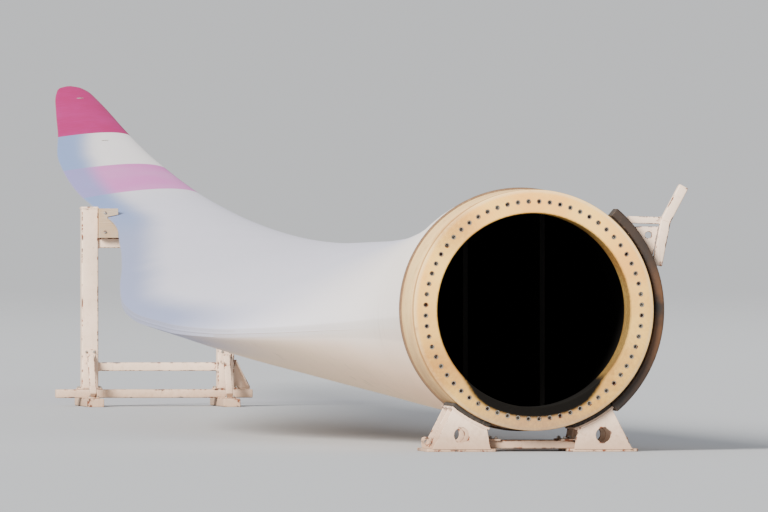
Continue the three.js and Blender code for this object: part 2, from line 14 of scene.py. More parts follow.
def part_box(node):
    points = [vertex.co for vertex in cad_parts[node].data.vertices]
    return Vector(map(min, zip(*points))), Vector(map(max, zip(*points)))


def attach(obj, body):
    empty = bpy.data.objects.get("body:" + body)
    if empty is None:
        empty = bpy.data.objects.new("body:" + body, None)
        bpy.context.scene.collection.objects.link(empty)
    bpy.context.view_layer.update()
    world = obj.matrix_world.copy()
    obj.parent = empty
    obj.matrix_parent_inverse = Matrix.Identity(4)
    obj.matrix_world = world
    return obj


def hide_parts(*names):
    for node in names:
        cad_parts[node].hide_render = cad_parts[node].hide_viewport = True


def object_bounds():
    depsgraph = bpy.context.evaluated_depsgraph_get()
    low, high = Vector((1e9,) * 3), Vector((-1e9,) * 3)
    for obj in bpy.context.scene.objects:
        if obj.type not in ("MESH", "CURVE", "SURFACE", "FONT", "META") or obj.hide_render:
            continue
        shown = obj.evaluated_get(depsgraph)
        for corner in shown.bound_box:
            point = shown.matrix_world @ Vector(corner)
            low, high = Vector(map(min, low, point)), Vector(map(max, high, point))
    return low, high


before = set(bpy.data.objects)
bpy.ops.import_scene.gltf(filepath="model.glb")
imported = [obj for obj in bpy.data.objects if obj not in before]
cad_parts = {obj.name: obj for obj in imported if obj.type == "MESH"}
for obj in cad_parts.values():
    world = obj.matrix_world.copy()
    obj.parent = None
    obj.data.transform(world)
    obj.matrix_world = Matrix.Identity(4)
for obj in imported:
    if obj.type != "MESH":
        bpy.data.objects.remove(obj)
CAD_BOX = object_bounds()

# Every size below is that of the full-size blade or stand, in metres: x to the leading side and
# y towards the tip, both from the middle of the root face, and z up from the ground.
MODEL_SCALE = 0.5
ROOT_LOW, ROOT_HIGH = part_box("root_laminate")
ROOT_ORIGIN = np.array([(ROOT_LOW.x + ROOT_HIGH.x) / 2, ROOT_LOW.y, 0.0])
LOWEST_X = (CAD_BOX[0][0] - ROOT_ORIGIN[0]) / MODEL_SCALE

BLADE_LENGTH = 55.0
ROOT_RADIUS = 1.2
ROOT_HEIGHT = 1.41
SHELL_START = 1.3
GAP = 0.0006
BODY = "root"
SHARP_ANGLE = math.radians(32)
MERGE_DISTANCE = 1e-5

# The two axes of an outline that lies flat, stands across the blade or stands along it.
LEVEL = ((1, 0, 0), (0, 1, 0))
UPRIGHT = ((1, 0, 0), (0, 0, 1))
ALONGSIDE = ((0, 1, 0), (0, 0, 1))
UP = (0, 0, 1)
LENGTHWAYS = (0, 1, 0)
# A bolt's washer, nut and end: radius, sides, and each row's scale and height, in bolt diameters.
BOLT = (
    (1.15, 16, ((1, -0.05), (1, 0.14), (0.93, 0.2))),
    (0.98, 6, ((0.9, 0.16), (1, 0.3), (1, 0.9), (0.88, 1.04))),
    (0.5, 12, ((1, 0.9), (1, 1.34), (0.8, 1.42))),
)

Array = np.ndarray
Colour = tuple[float, float, float]
# Two values: where a part begins and ends, or where a tone is none and where it is full.
Range = tuple[float, float]
Point = Sequence[float]
Triple = tuple[float, float, float]
Axes = tuple[Point, Point]
log = logging.getLogger("rotor_blade")


def to_row(points: Array) -> Array:
    """Full-size metres from the root face, as metres in the row frame."""
    return ROOT_ORIGIN + np.asarray(points, float) * MODEL_SCALE


def paint(code: str) -> Colour:
    """Linear colour of a six-figure screen colour.

    Args:
        code: Red, green and blue as two hexadecimal figures each.

    Returns:
        The three linear values, from 0 to 1.
    """
    channels = [int(code[i : i + 2], 16) / 255 for i in (0, 2, 4)]
    return tuple(c / 12.92 if c <= 0.04045 else ((c + 0.055) / 1.055) ** 2.4 for c in channels)


def unit(vector: Array | Point) -> Array:
    """A vector, or each row of an array, at length 1."""
    array = np.asarray(vector, float)
    return array / np.linalg.norm(array, axis=-1, keepdims=True)


def crossways(direction: Point) -> tuple[Array, Array]:
    """Two directions square to a third.

    Args:
        direction: Where a bar, bolt or bead points.

    Returns:
        The X and Y axes, turned by the shortest turn that takes Z to the direction.
    """
    turn = Vector((0, 0, 1)).rotation_difference(Vector(unit(direction)))
    return np.array(turn @ Vector((1, 0, 0))), np.array(turn @ Vector((0, 1, 0)))


def circle(radius: float, steps: int, centre: Point = (0.0, 0.0), clockwise: bool = False) -> Array:
    """Points round a circle.

    Args:
        radius: Its radius.
        steps: How many points it has.
        centre: Its middle.
        clockwise: True for the edge of a hole.

    Returns:
        A row of points (cos a, sin a) times the radius.
    """
    angle = np.linspace(0, 2 * np.pi, steps, endpoint=False) * (-1 if clockwise else 1)
    return np.stack([np.cos(angle), np.sin(angle)], -1) * radius + np.asarray(centre)


def rounded_rectangle(width: float, depth: float, radius: float, steps: int = 4) -> Array:
    """A rectangle round the origin whose corners are quarter circles.

    Args:
        width: Its size along the first axis.
        depth: Its size along the second axis.
        radius: The radius of its corners.
        steps: The spans of each corner.

    Returns:
        Its points, anticlockwise, steps + 1 to a corner.
    """
    signs = np.array([[1, 1], [-1, 1], [-1, -1], [1, -1]])
    angle = np.radians(np.arange(4)[:, None] * 90 + np.linspace(0, 90, steps + 1))
    centres = signs * (np.array([width, depth]) / 2 - radius)
    return (centres[:, None] + radius * np.stack([np.cos(angle), np.sin(angle)], -1)).reshape(-1, 2)


def rounded(corners: Sequence[Point], radius: float) -> Array:
    """A polygon with its corners rounded by three spans each.

    Args:
        corners: Its corners in order.
        radius: How far from each corner the round begins.

    Returns:
        Its points: at share t of a round, the corner plus radius times (1 - t) squared towards
        the last corner and t squared towards the next.
    """
    corner = np.asarray(corners, float)
    back, ahead = (unit(np.roll(corner, turn, 0) - corner) for turn in (1, -1))
    t = np.linspace(0, 1, 4)[None, :, None]
    points = corner[:, None] + radius * ((1 - t) ** 2 * back[:, None] + t**2 * ahead[:, None])
    return points.reshape(-1, 2)


def offset_loop(loop: Array, distance: float) -> Array:
    """A closed outline moved to its left by a distance, its corners mitred."""
    along = unit(np.roll(loop, -1, 0) - loop)
    left = np.stack([-along[:, 1], along[:, 0]], -1)
    before = np.roll(left, 1, 0)
    mitre = (left + before) / (1 + (left * before).sum(1, keepdims=True))
    return loop + distance * mitre


def anticlockwise(outline: Array) -> Array:
    """A closed outline in the order that runs anticlockwise, by the sign of its area."""
    ahead = np.roll(outline, -1, 0)
    area = (outline[:, 0] * ahead[:, 1] - ahead[:, 0] * outline[:, 1]).sum()
    return outline if area > 0 else outline[::-1]


def arc_point(radius: Array | float, angle: Array | float, y: Array | float) -> Array:
    """A point round the root's centre, its angle from straight down to the leading side, in radians."""
    angle, radius, y = np.broadcast_arrays(angle, radius, y)
    return np.stack([radius * np.sin(angle), y, ROOT_HEIGHT - radius * np.cos(angle)], -1)


def swept(origins: Array, sections: Array, across: Array, up: Array) -> Array:
    """Sections set along a path.

    Args:
        origins: The path's points.
        sections: A flat outline for each of them, or one for all.
        across: The direction of the outlines' first axis, one for each point or one for all.
        up: The same for their second axis.

    Returns:
        A row for each point: the point plus the outline's two values times the two axes.
    """
    across, up = (np.broadcast_to(axis, origins.shape)[:, None] for axis in (across, up))
    return origins[:, None] + sections[..., :1] * across + sections[..., 1:] * up


def shown(name: str, data: bpy.types.ID) -> bpy.types.Object:
    """A new object of a mesh, a light or a camera, linked to the scene."""
    made = bpy.data.objects.new(name, data)
    bpy.context.scene.collection.objects.link(made)
    return made


@dataclass
class Surface:
    """The points and faces of one piece, gathered part by part in full-size metres.

    The wear value of a point is 1 on an edge or corner, where paint chips first, and 0 elsewhere.
    """

    points: list[Array] = field(default_factory=list)
    wear: list[Array] = field(default_factory=list)
    faces: list[Array] = field(default_factory=list)
    size: int = 0

    def add(self, points: Array, wear: Array | float = 0.0) -> Array:
        """Takes in points.

        Args:
            points: Any array of points.
            wear: Their wear, one value or one for each point.

        Returns:
            The index of each point, in the shape of the array.
        """
        shape = points.shape[:-1]
        self.points.append(points.reshape(-1, 3))
        self.wear.append(np.broadcast_to(wear, shape).astype(float).ravel())
        start = self.size
        self.size += int(np.prod(shape))
        return start + np.arange(self.size - start).reshape(shape)

    def grid(
        self,
        points: Array,
        wear: Array | float = 0.0,
        loop: bool = False,
        caps: tuple[bool, bool] = (True, True),
    ) -> Array:
        """Joins the rows of a grid with quads, each row closed to a ring.

        Args:
            points: Rows of points, all of one length.
            wear: The wear at each point, or one value.
            loop: Joins the last row to the first.
            caps: Closes the first and the last row with a fan round its middle.

        Returns:
            The index of each point of the grid.
        """
        index = self.add(points, wear)
        joined = np.hstack([index, index[:, :1]])
        joined = np.vstack([joined, joined[:1]]) if loop else joined
        quads = [joined[:-1, :-1], joined[:-1, 1:], joined[1:, 1:], joined[1:, :-1]]
        self.faces.append(np.stack(quads, -1).reshape(-1, 4))
        for row, wanted in zip((0, -1), caps):
            if wanted and not loop:
                middle = self.add(points[row].mean(0, keepdims=True))
                around = index[row]
                fan = [np.broadcast_to(middle, around.shape), around, np.roll(around, -1)]
                self.faces.append(np.stack(fan, -1))
        return index

    def tube(self, section: Triple, origins: Array, across: Array, up: Array, bevel: float = 0.006) -> None:
        """A bar along a path, its section a rounded rectangle that shrinks by a bevel at both ends.

        Args:
            section: Width along across, depth along up, and corner radius.
            origins: The path's points, the ends and the bevels' other edges among them.
            across: One direction for all the path, or one for each point.
            up: The same for the section's second axis.
            bevel: The size of the bevel.
        """
        width, depth, radius = section
        sections = np.repeat(rounded_rectangle(width, depth, radius)[None], len(origins), 0)
        small = rounded_rectangle(width - 2 * bevel, depth - 2 * bevel, max(radius - bevel, bevel / 4))
        sections[[0, -1]] = small
        corner = np.tile([0.0, 1.0, 1.0, 1.0, 0.0], 4)
        ends = np.zeros(len(origins))
        ends[[0, 1, -2, -1]] = 1
        self.grid(swept(origins, sections, across, up), np.maximum(corner[None], ends[:, None]))

    def bar(self, start: Point, end: Point, section: Triple, bevel: float = 0.006) -> None:
        """A straight bar.

        Args:
            start: The middle of its first end.
            end: The middle of its last end.
            section: Width, depth and corner radius.
            bevel: The size of the bevel round its ends.
        """
        start, end = np.asarray(start, float), np.asarray(end, float)
        length = np.linalg.norm(end - start)
        fade = min(0.05, length / 4)
        along = np.array([0, bevel, bevel + fade, length - bevel - fade, length - bevel, length])
        across, up = crossways(end - start)
        self.tube(section, start + along[:, None] * unit(end - start), across, up, bevel=bevel)

    def arc_bar(
        self, radius: float, angles: tuple[float, float], y: float, section: Triple, bevel: float = 0.006
    ) -> None:
        """A bar bent round the root's centre.

        Args:
            radius: The radius of its middle line.
            angles: Where it starts and ends, in degrees from straight down.
            y: The y of its middle line.
            section: Its radial size, its size along the blade and its corner radius.
            bevel: The size of the bevel round its ends.
        """
        low, high = np.radians(angles)
        step = bevel / radius
        inner = np.linspace(low + step, high - step, max(4, int((high - low) / math.radians(2))))
        angle = np.concatenate([[low], inner, [high]])
        outward = np.stack([np.sin(angle), np.zeros_like(angle), -np.cos(angle)], -1)
        self.tube(section, arc_point(radius, angle, y), outward, LENGTHWAYS, bevel=bevel)

    def plate(
        self,
        outlines: Sequence[Array],
        origin: Point,
        axes: Axes,
        thickness: float,
        bevel: float = 0.004,
        margin: float = 0.018,
    ) -> None:
        """A flat plate with bevelled edges, and holes where more than one outline is given.

        Args:
            outlines: The outline, anticlockwise, and each hole's edge, clockwise.
            origin: Where the outlines' own origin goes.
            axes: The directions of their two axes.
            thickness: How far the plate reaches along the first axis x the second.
            bevel: The size of the bevel.
            margin: How far in from an edge the wear fades out.
        """
        across, up = (unit(axis) for axis in axes)
        normal = np.cross(across, up)
        half = [(margin, 0.0, 0.0), (bevel, 0.0, 1.0), (0.0, bevel, 1.0)]
        inset, height, wear = np.array(half + [(i, thickness - h, w) for i, h, w in half[::-1]]).T
        grids, flat = [], []
        for outline in outlines:
            loops = np.stack([offset_loop(outline, distance) for distance in inset])
            points = swept(np.asarray(origin, float) + height[:, None] * normal, loops, across, up)
            grids.append(self.grid(points, wear[:, None], caps=(False, False)))
            flat.append([Vector((x, y, 0)) for x, y in loops[0]])
        triangles = np.array(tessellate_polygon(flat))
        for row in (0, -1):
            self.faces.append(np.concatenate([grid[row] for grid in grids])[triangles])

    def bead(self, path: Sequence[Point], radius: float = 0.009, closed: bool = False) -> None:
        """A weld bead: a six-sided section along a path, which swells and shrinks with each ripple.

        Args:
            path: The points that it joins.
            radius: Its middle radius; ripple number n has it times 1 + 0.16 sin(2.1 n).
            closed: True where it ends where it began.
        """
        pitch, swell, beat, wear = 1.7, 0.16, 2.1, 0.35
        askew = unit((0.31, 0.52, 0.79))
        corner = np.asarray(path, float)
        corner = np.vstack([corner, corner[:1]]) if closed else corner
        run = np.concatenate([[0], np.cumsum(np.linalg.norm(np.diff(corner, axis=0), axis=1))])
        count = max(4, int(run[-1] / (radius * pitch)))
        at = np.linspace(0, run[-1], count, endpoint=not closed)
        centre = np.stack([np.interp(at, run, corner[:, i]) for i in range(3)], -1)
        ahead = np.roll(centre, -1, 0) - np.roll(centre, 1, 0) if closed else np.gradient(centre, axis=0)
        ahead = unit(ahead)
        side = unit(np.cross(ahead, askew))
        size = radius * (1 + swell * np.sin(beat * np.arange(count)))
        sections = size[:, None, None] * circle(1.0, 6)
        self.grid(swept(centre, sections, side, np.cross(ahead, side)), wear, loop=closed)

    def collar(self, centre: Point, outline: Array, axes: Axes, radius: float) -> None:
        """A weld bead of a radius round a section, whose outline has a centre and two axes."""
        self.bead(swept(np.array([centre], float), outline, *axes)[0], radius, closed=True)

    def turned(
        self,
        origin: Point,
        direction: Point,
        outline: Array,
        profile: Sequence[Range],
        wear: float = 0.4,
    ) -> None:
        """A solid of one outline at several scales and heights, such as a bolt's head.

        Args:
            origin: The foot of its axis.
            direction: Where its axis points.
            outline: The outline at scale 1.
            profile: A scale and a height for each row.
            wear: The wear value of all its points.
        """
        scale, height = np.asarray(profile, float).T
        origins = np.asarray(origin, float) + height[:, None] * unit(direction)
        self.grid(swept(origins, scale[:, None, None] * outline, *crossways(direction)), wear)

    def bolt(self, point: Point, direction: Point, size: float = 0.02) -> None:
        """A washer, a hexagon nut and the bolt's end.

        Args:
            point: Where its axis meets the plate.
            direction: The way out of the plate.
            size: The bolt's diameter.
        """
        for radius, sides, rows in BOLT:
            profile = [(scale, height * size) for scale, height in rows]
            self.turned(point, direction, circle(radius * size, sides), profile)

    def take_side(self, sign: int) -> None:
        """Turns x round where the sign is -1."""
        self.points = [points * np.array([sign, 1, 1]) for points in self.points]

    def mesh(self, name: str) -> bpy.types.Mesh:
        """A mesh of its points and faces, in metres of the row frame."""
        made = bpy.data.meshes.new(name)
        faces = [face for block in self.faces for face in block.tolist()]
        made.from_pydata(to_row(np.concatenate(self.points)).tolist(), [], faces)
        return made

    def piece(
        self, name: str, finish: "Finish", *replaces: str, extra: dict[str, Array] | None = None
    ) -> None:
        """Makes the mesh and its object, dresses it and lets it ride on the frame.

        Args:
            name: The piece's name.
            finish: The finish that it gets.
            replaces: The CAD nodes that it stands for.
            extra: More values for each point, by name, for its finish.
        """
        mesh = self.mesh(name)
        for key, value in {"wear": np.concatenate(self.wear), **(extra or {})}.items():
            mesh.attributes.new(key, "FLOAT", "POINT").data.foreach_set("value", value.astype(np.float32))
        shape = bmesh.new()
        shape.from_mesh(mesh)
        bmesh.ops.remove_doubles(shape, verts=shape.verts, dist=MERGE_DISTANCE)
        bmesh.ops.recalc_face_normals(shape, faces=shape.faces)
        shape.to_mesh(mesh)
        shape.free()
        mesh.polygons.foreach_set("use_smooth", np.ones(len(mesh.polygons), bool))
        mesh.set_sharp_from_angle(angle=SHARP_ANGLE)
        mesh.materials.append(finish.made())
        made = shown(name, mesh)
        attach(made, BODY)
        if replaces:
            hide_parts(*replaces)
        log.info("%s: %d faces", name, len(mesh.polygons))


class Wire:
    """An output of a shader node that does sums as Python does, each sum adding a Math node."""

    def __init__(self, graph: "Graph", socket: bpy.types.NodeSocket, vector: bool = False) -> None:
        """Wraps a socket of a graph; vector says whether it carries three numbers."""
        self.graph = graph
        self.socket = socket
        self.vector = vector

    def sum(self, operation: str, *values: "Wire | float | Point") -> "Wire":
        """The result of a Math or Vector Math operation.

        Args:
            operation: The node's operation.
            values: Its inputs in order.

        Returns:
            The node's output.
        """
        vector = any(isinstance(v, Wire) and v.vector for v in values)
        kind = "ShaderNodeVectorMath" if vector else "ShaderNodeMath"
        if vector:
            values = tuple((v, v, v) if isinstance(v, (int, float)) else v for v in values)
        return self.graph.wire(kind, {"operation": operation}, dict(enumerate(values)), vector=vector)

    def __add__(self, other: "Wire | float") -> "Wire":
        """This plus another."""
        return self.sum("ADD", self, other)

    def __sub__(self, other: "Wire | float") -> "Wire":
        """This less another."""
        return self.sum("SUBTRACT", self, other)

    def __rsub__(self, other: float) -> "Wire":
        """Another less this."""
        return self.sum("SUBTRACT", other, self)

    def __mul__(self, other: "Wire | float") -> "Wire":
        """This times another."""
        return self.sum("MULTIPLY", self, other)

    __radd__ = __add__
    __rmul__ = __mul__

    def power(self, exponent: float) -> "Wire":
        """This to a power."""
        return self.sum("POWER", self, exponent)

    def sine(self) -> "Wire":
        """Its sine."""
        return self.sum("SINE", self)

    def rise(self, low: float, high: float) -> "Wire":
        """A smooth rise from 0 where this is low to 1 where it is high, which may be the smaller."""
        sockets = {0: self, 1: min(low, high), 2: max(low, high), 3: float(low > high), 4: float(low <= high)}
        return self.graph.wire("ShaderNodeMapRange", {"interpolation_type": "SMOOTHSTEP"}, sockets)


class Graph:
    """The node tree of one material."""

    def __init__(self, name: str) -> None:
        """Makes the material; its place is a point's, in full-size metres from the root at ground level."""
        self.material = bpy.data.materials.new(name)
        self.material.use_nodes = True
        self.tree = self.material.node_tree
        self.tree.nodes.clear()
        here = self.wire("ShaderNodeTexCoord", output="Object", vector=True)
        self.place = (here - tuple(ROOT_ORIGIN)) * (1 / MODEL_SCALE)

    def node(self, kind: str, settings: dict | None = None, sockets: dict | None = None) -> bpy.types.Node:
        """Adds a node.

        Args:
            kind: Its type.
            settings: Its own settings, which are set first.
            sockets: A value or a wire for its inputs, by name or number.

        Returns:
            The node.
        """
        made = self.tree.nodes.new(kind)
        for key, value in (settings or {}).items():
            setattr(made, key, value)
        for key, value in (sockets or {}).items():
            if isinstance(value, Wire):
                self.tree.links.new(value.socket, made.inputs[key])
            elif isinstance(value, tuple) and len(value) == 3 and made.inputs[key].type == "RGBA":
                made.inputs[key].default_value = (*value, 1.0)
            else:
                made.inputs[key].default_value = value
        return made

    def wire(
        self,
        kind: str,
        settings: dict | None = None,
        sockets: dict | None = None,
        output: str | int = 0,
        vector: bool = False,
    ) -> Wire:
        """Adds a node and gives one of its outputs, as a wire that may carry a vector."""
        return Wire(self, self.node(kind, settings, sockets).outputs[output], vector)

    def parts(self, vector: Wire) -> tuple[Wire, Wire, Wire]:
        """A vector's three values."""
        split = self.node("ShaderNodeSeparateXYZ", sockets={0: vector})
        return tuple(Wire(self, output) for output in split.outputs)

    def length(self, vector: Wire) -> Wire:
        """A vector's length."""
        return self.wire("ShaderNodeVectorMath", {"operation": "LENGTH"}, {0: vector}, output="Value")

    def value(self, name: str) -> Wire:
        """A value that the mesh holds at each point."""
        return self.wire("ShaderNodeAttribute", {"attribute_name": name}, output="Fac")

    def noise(self, scale: "float | Triple", detail: float = 4.0, roughness: float = 0.55) -> Wire:
        """Cloudy noise round 0.5, with scale lumps to a metre, or so many along each axis."""
        place, lumps = (self.place * scale, 1.0) if isinstance(scale, tuple) else (self.place, scale)
        sockets = {"Vector": place, "Scale": lumps, "Detail": detail, "Roughness": roughness}
        return self.wire("ShaderNodeTexNoise", sockets=sockets)

    def blend(self, share: "Wire | float", first: "Wire | Colour", second: "Wire | Colour") -> Wire:
        """A colour between two, at a share from 0 to 1."""
        return self.wire("ShaderNodeMix", {"data_type": "RGBA"}, {0: share, 6: first, 7: second}, output=2)

    def layers(self, base: Wire, *layers: "tuple[Wire, Wire | Colour]") -> Wire:
        """A colour with others laid over it in turn, each given after its share."""
        for share, colour in layers:
            base = self.blend(share, base, colour)
        return base

    def upward(self) -> Wire:
        """How far a surface faces up, from -1 to 1."""
        return self.parts(self.wire("ShaderNodeNewGeometry", output="Normal", vector=True))[2]

    def bump(self, height: Wire, depth: float) -> Wire:
        """A surface normal raised by a height from 0 to 1, times a depth in metres of the model."""
        return self.wire("ShaderNodeBump", sockets={"Height": height, "Distance": depth, "Strength": 1.0})

    def finish(
        self, colour: Wire, roughness: "Wire | float", normal: Wire, **own: "Wire | float"
    ) -> bpy.types.Material:
        """Ends the tree in one shader.

        Args:
            colour: The base colour.
            roughness: The roughness.
            normal: The surface normal.
            own: Values or wires for the shader's other sockets, with underscores for spaces.

        Returns:
            The material.
        """
        sockets = {"Base Color": colour, "Roughness": roughness, "Normal": normal}
        sockets |= {key.replace("_", " "): value for key, value in own.items()}
        shader = self.node("ShaderNodeBsdfPrincipled", sockets=sockets)
        self.node("ShaderNodeOutputMaterial", sockets={0: Wire(self, shader.outputs[0])})
        return self.material


class Finish:
    """A finish with a material of its own, which is made once."""

    name = slot = ""
    made_ones: dict[str, bpy.types.Material] = {}

    def dress(self, graph: Graph) -> bpy.types.Material:
        """Builds the material's nodes."""
        raise NotImplementedError

    def made(self) -> bpy.types.Material:
        """The material, built on first use."""
        if self.name not in Finish.made_ones:
            Finish.made_ones[self.name] = self.dress(Graph(self.name))
        return Finish.made_ones[self.name]


@dataclass(frozen=True)
class Gelcoat(Finish):
    """Satin off-white gelcoat with painted tip bands, rain streaks, dust and an inside painted dark as shade.

    Bands are told by y; the grey edge and the bluish strip, painted shade, by the distance to the
    trailing edge; the underside's painted warm bounce light by the normal; streaks, dust and pits by noise.
    """

    name = slot = "gelcoat"
    cool_white: Colour = paint("cfcfe0")
    bright_white: Colour = paint("f0ebe6")
    # Painted warm light that the ground bounces onto the underside.
    warm_white: Colour = paint("ffdcb4")
    # The grey and the blue paint shade along the trailing edge, the blue tinted by reflected sky.
    shaded_edge_grey: Colour = paint("8692bc")
    shaded_edge_blue: Colour = paint("6d8cc4")
    tip_red: Colour = (0.35, 0.0, 0.11)
    faded_red: Colour = (0.41, 0.01, 0.19)
    pale_red: Colour = (0.6, 0.13, 0.48)
    streak: Colour = paint("a79c8c")
    # Painted warm light bounced from the ground onto the underside near the root.
    ground_bounce: Colour = paint("e6a874")
    # The blade's inner side, painted near black as the shade inside it.
    inside: Colour = paint("15120f")
    red_from: float = 48.4
    white_from: float = 43.45
    pale_from: float = 39.0
    band_edge: float = 0.015
    band_waver: float = 0.02
    root_part: Range = (9.0, 1.5)
    bounce_part: Range = (7.0, 1.5)
    bright_part: Range = (36.0, 44.0)
    # Where the painted trailing-edge shade lies, along the blade and in from the edge.
    grey_part: Range = (6.5, 12.0)
    grey_reach: Range = (0.6, 0.12)
    blue_part: Range = (30.0, 39.0)
    blue_reach: Range = (0.48, 0.2)
    pitted_part: Range = (34.0, 50.0)
    pit_reach: Range = (0.11, 0.02)
    leading_seam: Range = (0.012, 0.004)
    trailing_seam: Range = (0.01, 0.003)

    def dress(self, graph: Graph) -> bpy.types.Material:
        """Lays painted bounce light and edge shade, bands, streaks, dust, pits, seams and inside shade."""
        y = graph.parts(graph.place)[1]
        upward = graph.upward()
        trailing, leading, inner = map(graph.value, ("trailing_gap", "leading_gap", "inner"))
        cloud = graph.noise((0.5, 0.16, 0.5), 3.0)
        runs = graph.noise((7.0, 7.0, 0.55), 5.0, 0.6)
        patchy = graph.noise((0.9, 0.5, 0.9), 4.0)
        waves = graph.noise((1.6, 0.35, 1.6), 2.0)
        fine = graph.noise(26.0, 6.0, 0.7)
        grain = graph.noise(38.0, 2.0)

        # Painted warm bounce light from the ground, on faces that turn down.
        under = (upward + cloud * 0.5).rise(0.25, -0.75)
        near_root = y.rise(*self.root_part)
        # Painted trailing-edge shade: grey on the belly, bluish with reflected sky further out.
        grey = (trailing + (cloud - 0.5) * 0.3).rise(*self.grey_reach) * y.rise(*self.grey_part)
        blue = (trailing + (cloud - 0.5) * 0.12).rise(*self.blue_reach) * y.rise(*self.blue_part)
        ragged = y + (graph.noise(9.0, 5.0) - 0.5) * self.band_waver
        pale_begun = ragged.rise(self.pale_from, self.pale_from + self.band_edge)
        pale = pale_begun * ragged.rise(self.white_from + self.band_edge, self.white_from)
        red = ragged.rise(self.red_from, self.red_from + self.band_edge)
        chalky = runs.rise(0.4, 0.7) * 0.35 + patchy.rise(0.35, 0.65) * 0.4 + fine.rise(0.5, 0.75) * 0.2
        streaks = runs.rise(0.53, 0.72) * patchy.rise(0.42, 0.68) * upward.rise(0.95, 0.2)
        dust = fine.rise(0.5, 0.75) * upward.rise(0.0, 0.9) * patchy.rise(0.35, 0.7)
        specks = graph.noise(90.0, 3.0).rise(0.57, 0.66)
        pits = specks * leading.rise(*self.pit_reach) * y.rise(*self.pitted_part)
        seams = leading.rise(*self.leading_seam) * 0.35 + trailing.rise(*self.trailing_seam) * 0.25

        bright = near_root * 0.8 + y.rise(*self.bright_part) * 0.6
        base = graph.layers(
            graph.blend(bright, self.cool_white, self.bright_white),
            # The underside's painted bounce light: warm white, deeper near the root.
            (under * 0.9 + near_root * 0.1, self.warm_white),
            (under * y.rise(*self.bounce_part) * 0.5, self.ground_bounce),
            # Painted shade along the trailing edge of the belly.
            (grey * 0.9, self.shaded_edge_grey),
            (pale, graph.blend(cloud.rise(0.4, 0.75) * 0.3, self.pale_red, self.cool_white)),
            # Painted shade along the outer trailing edge, tinted by reflected sky.
            (blue * 0.75, self.shaded_edge_blue),
            (red, graph.blend(chalky, self.tip_red, self.faded_red)),
            (streaks * 0.34, self.streak),
            (dust * 0.18, self.streak),
            (pits * 0.6, self.streak),
            (seams, self.streak),
            # The inner side, painted near black as shade.
            (inner, self.inside),
        )
        rough = 0.42 + cloud * 0.12 + streaks * 0.2 + dust * 0.2 + inner * 0.4 + red * 0.3
        normal = graph.bump(waves + grain * 0.012 - pits * 0.01, 0.006)
        return graph.finish(base, rough, normal, Specular_IOR_Level=0.3)


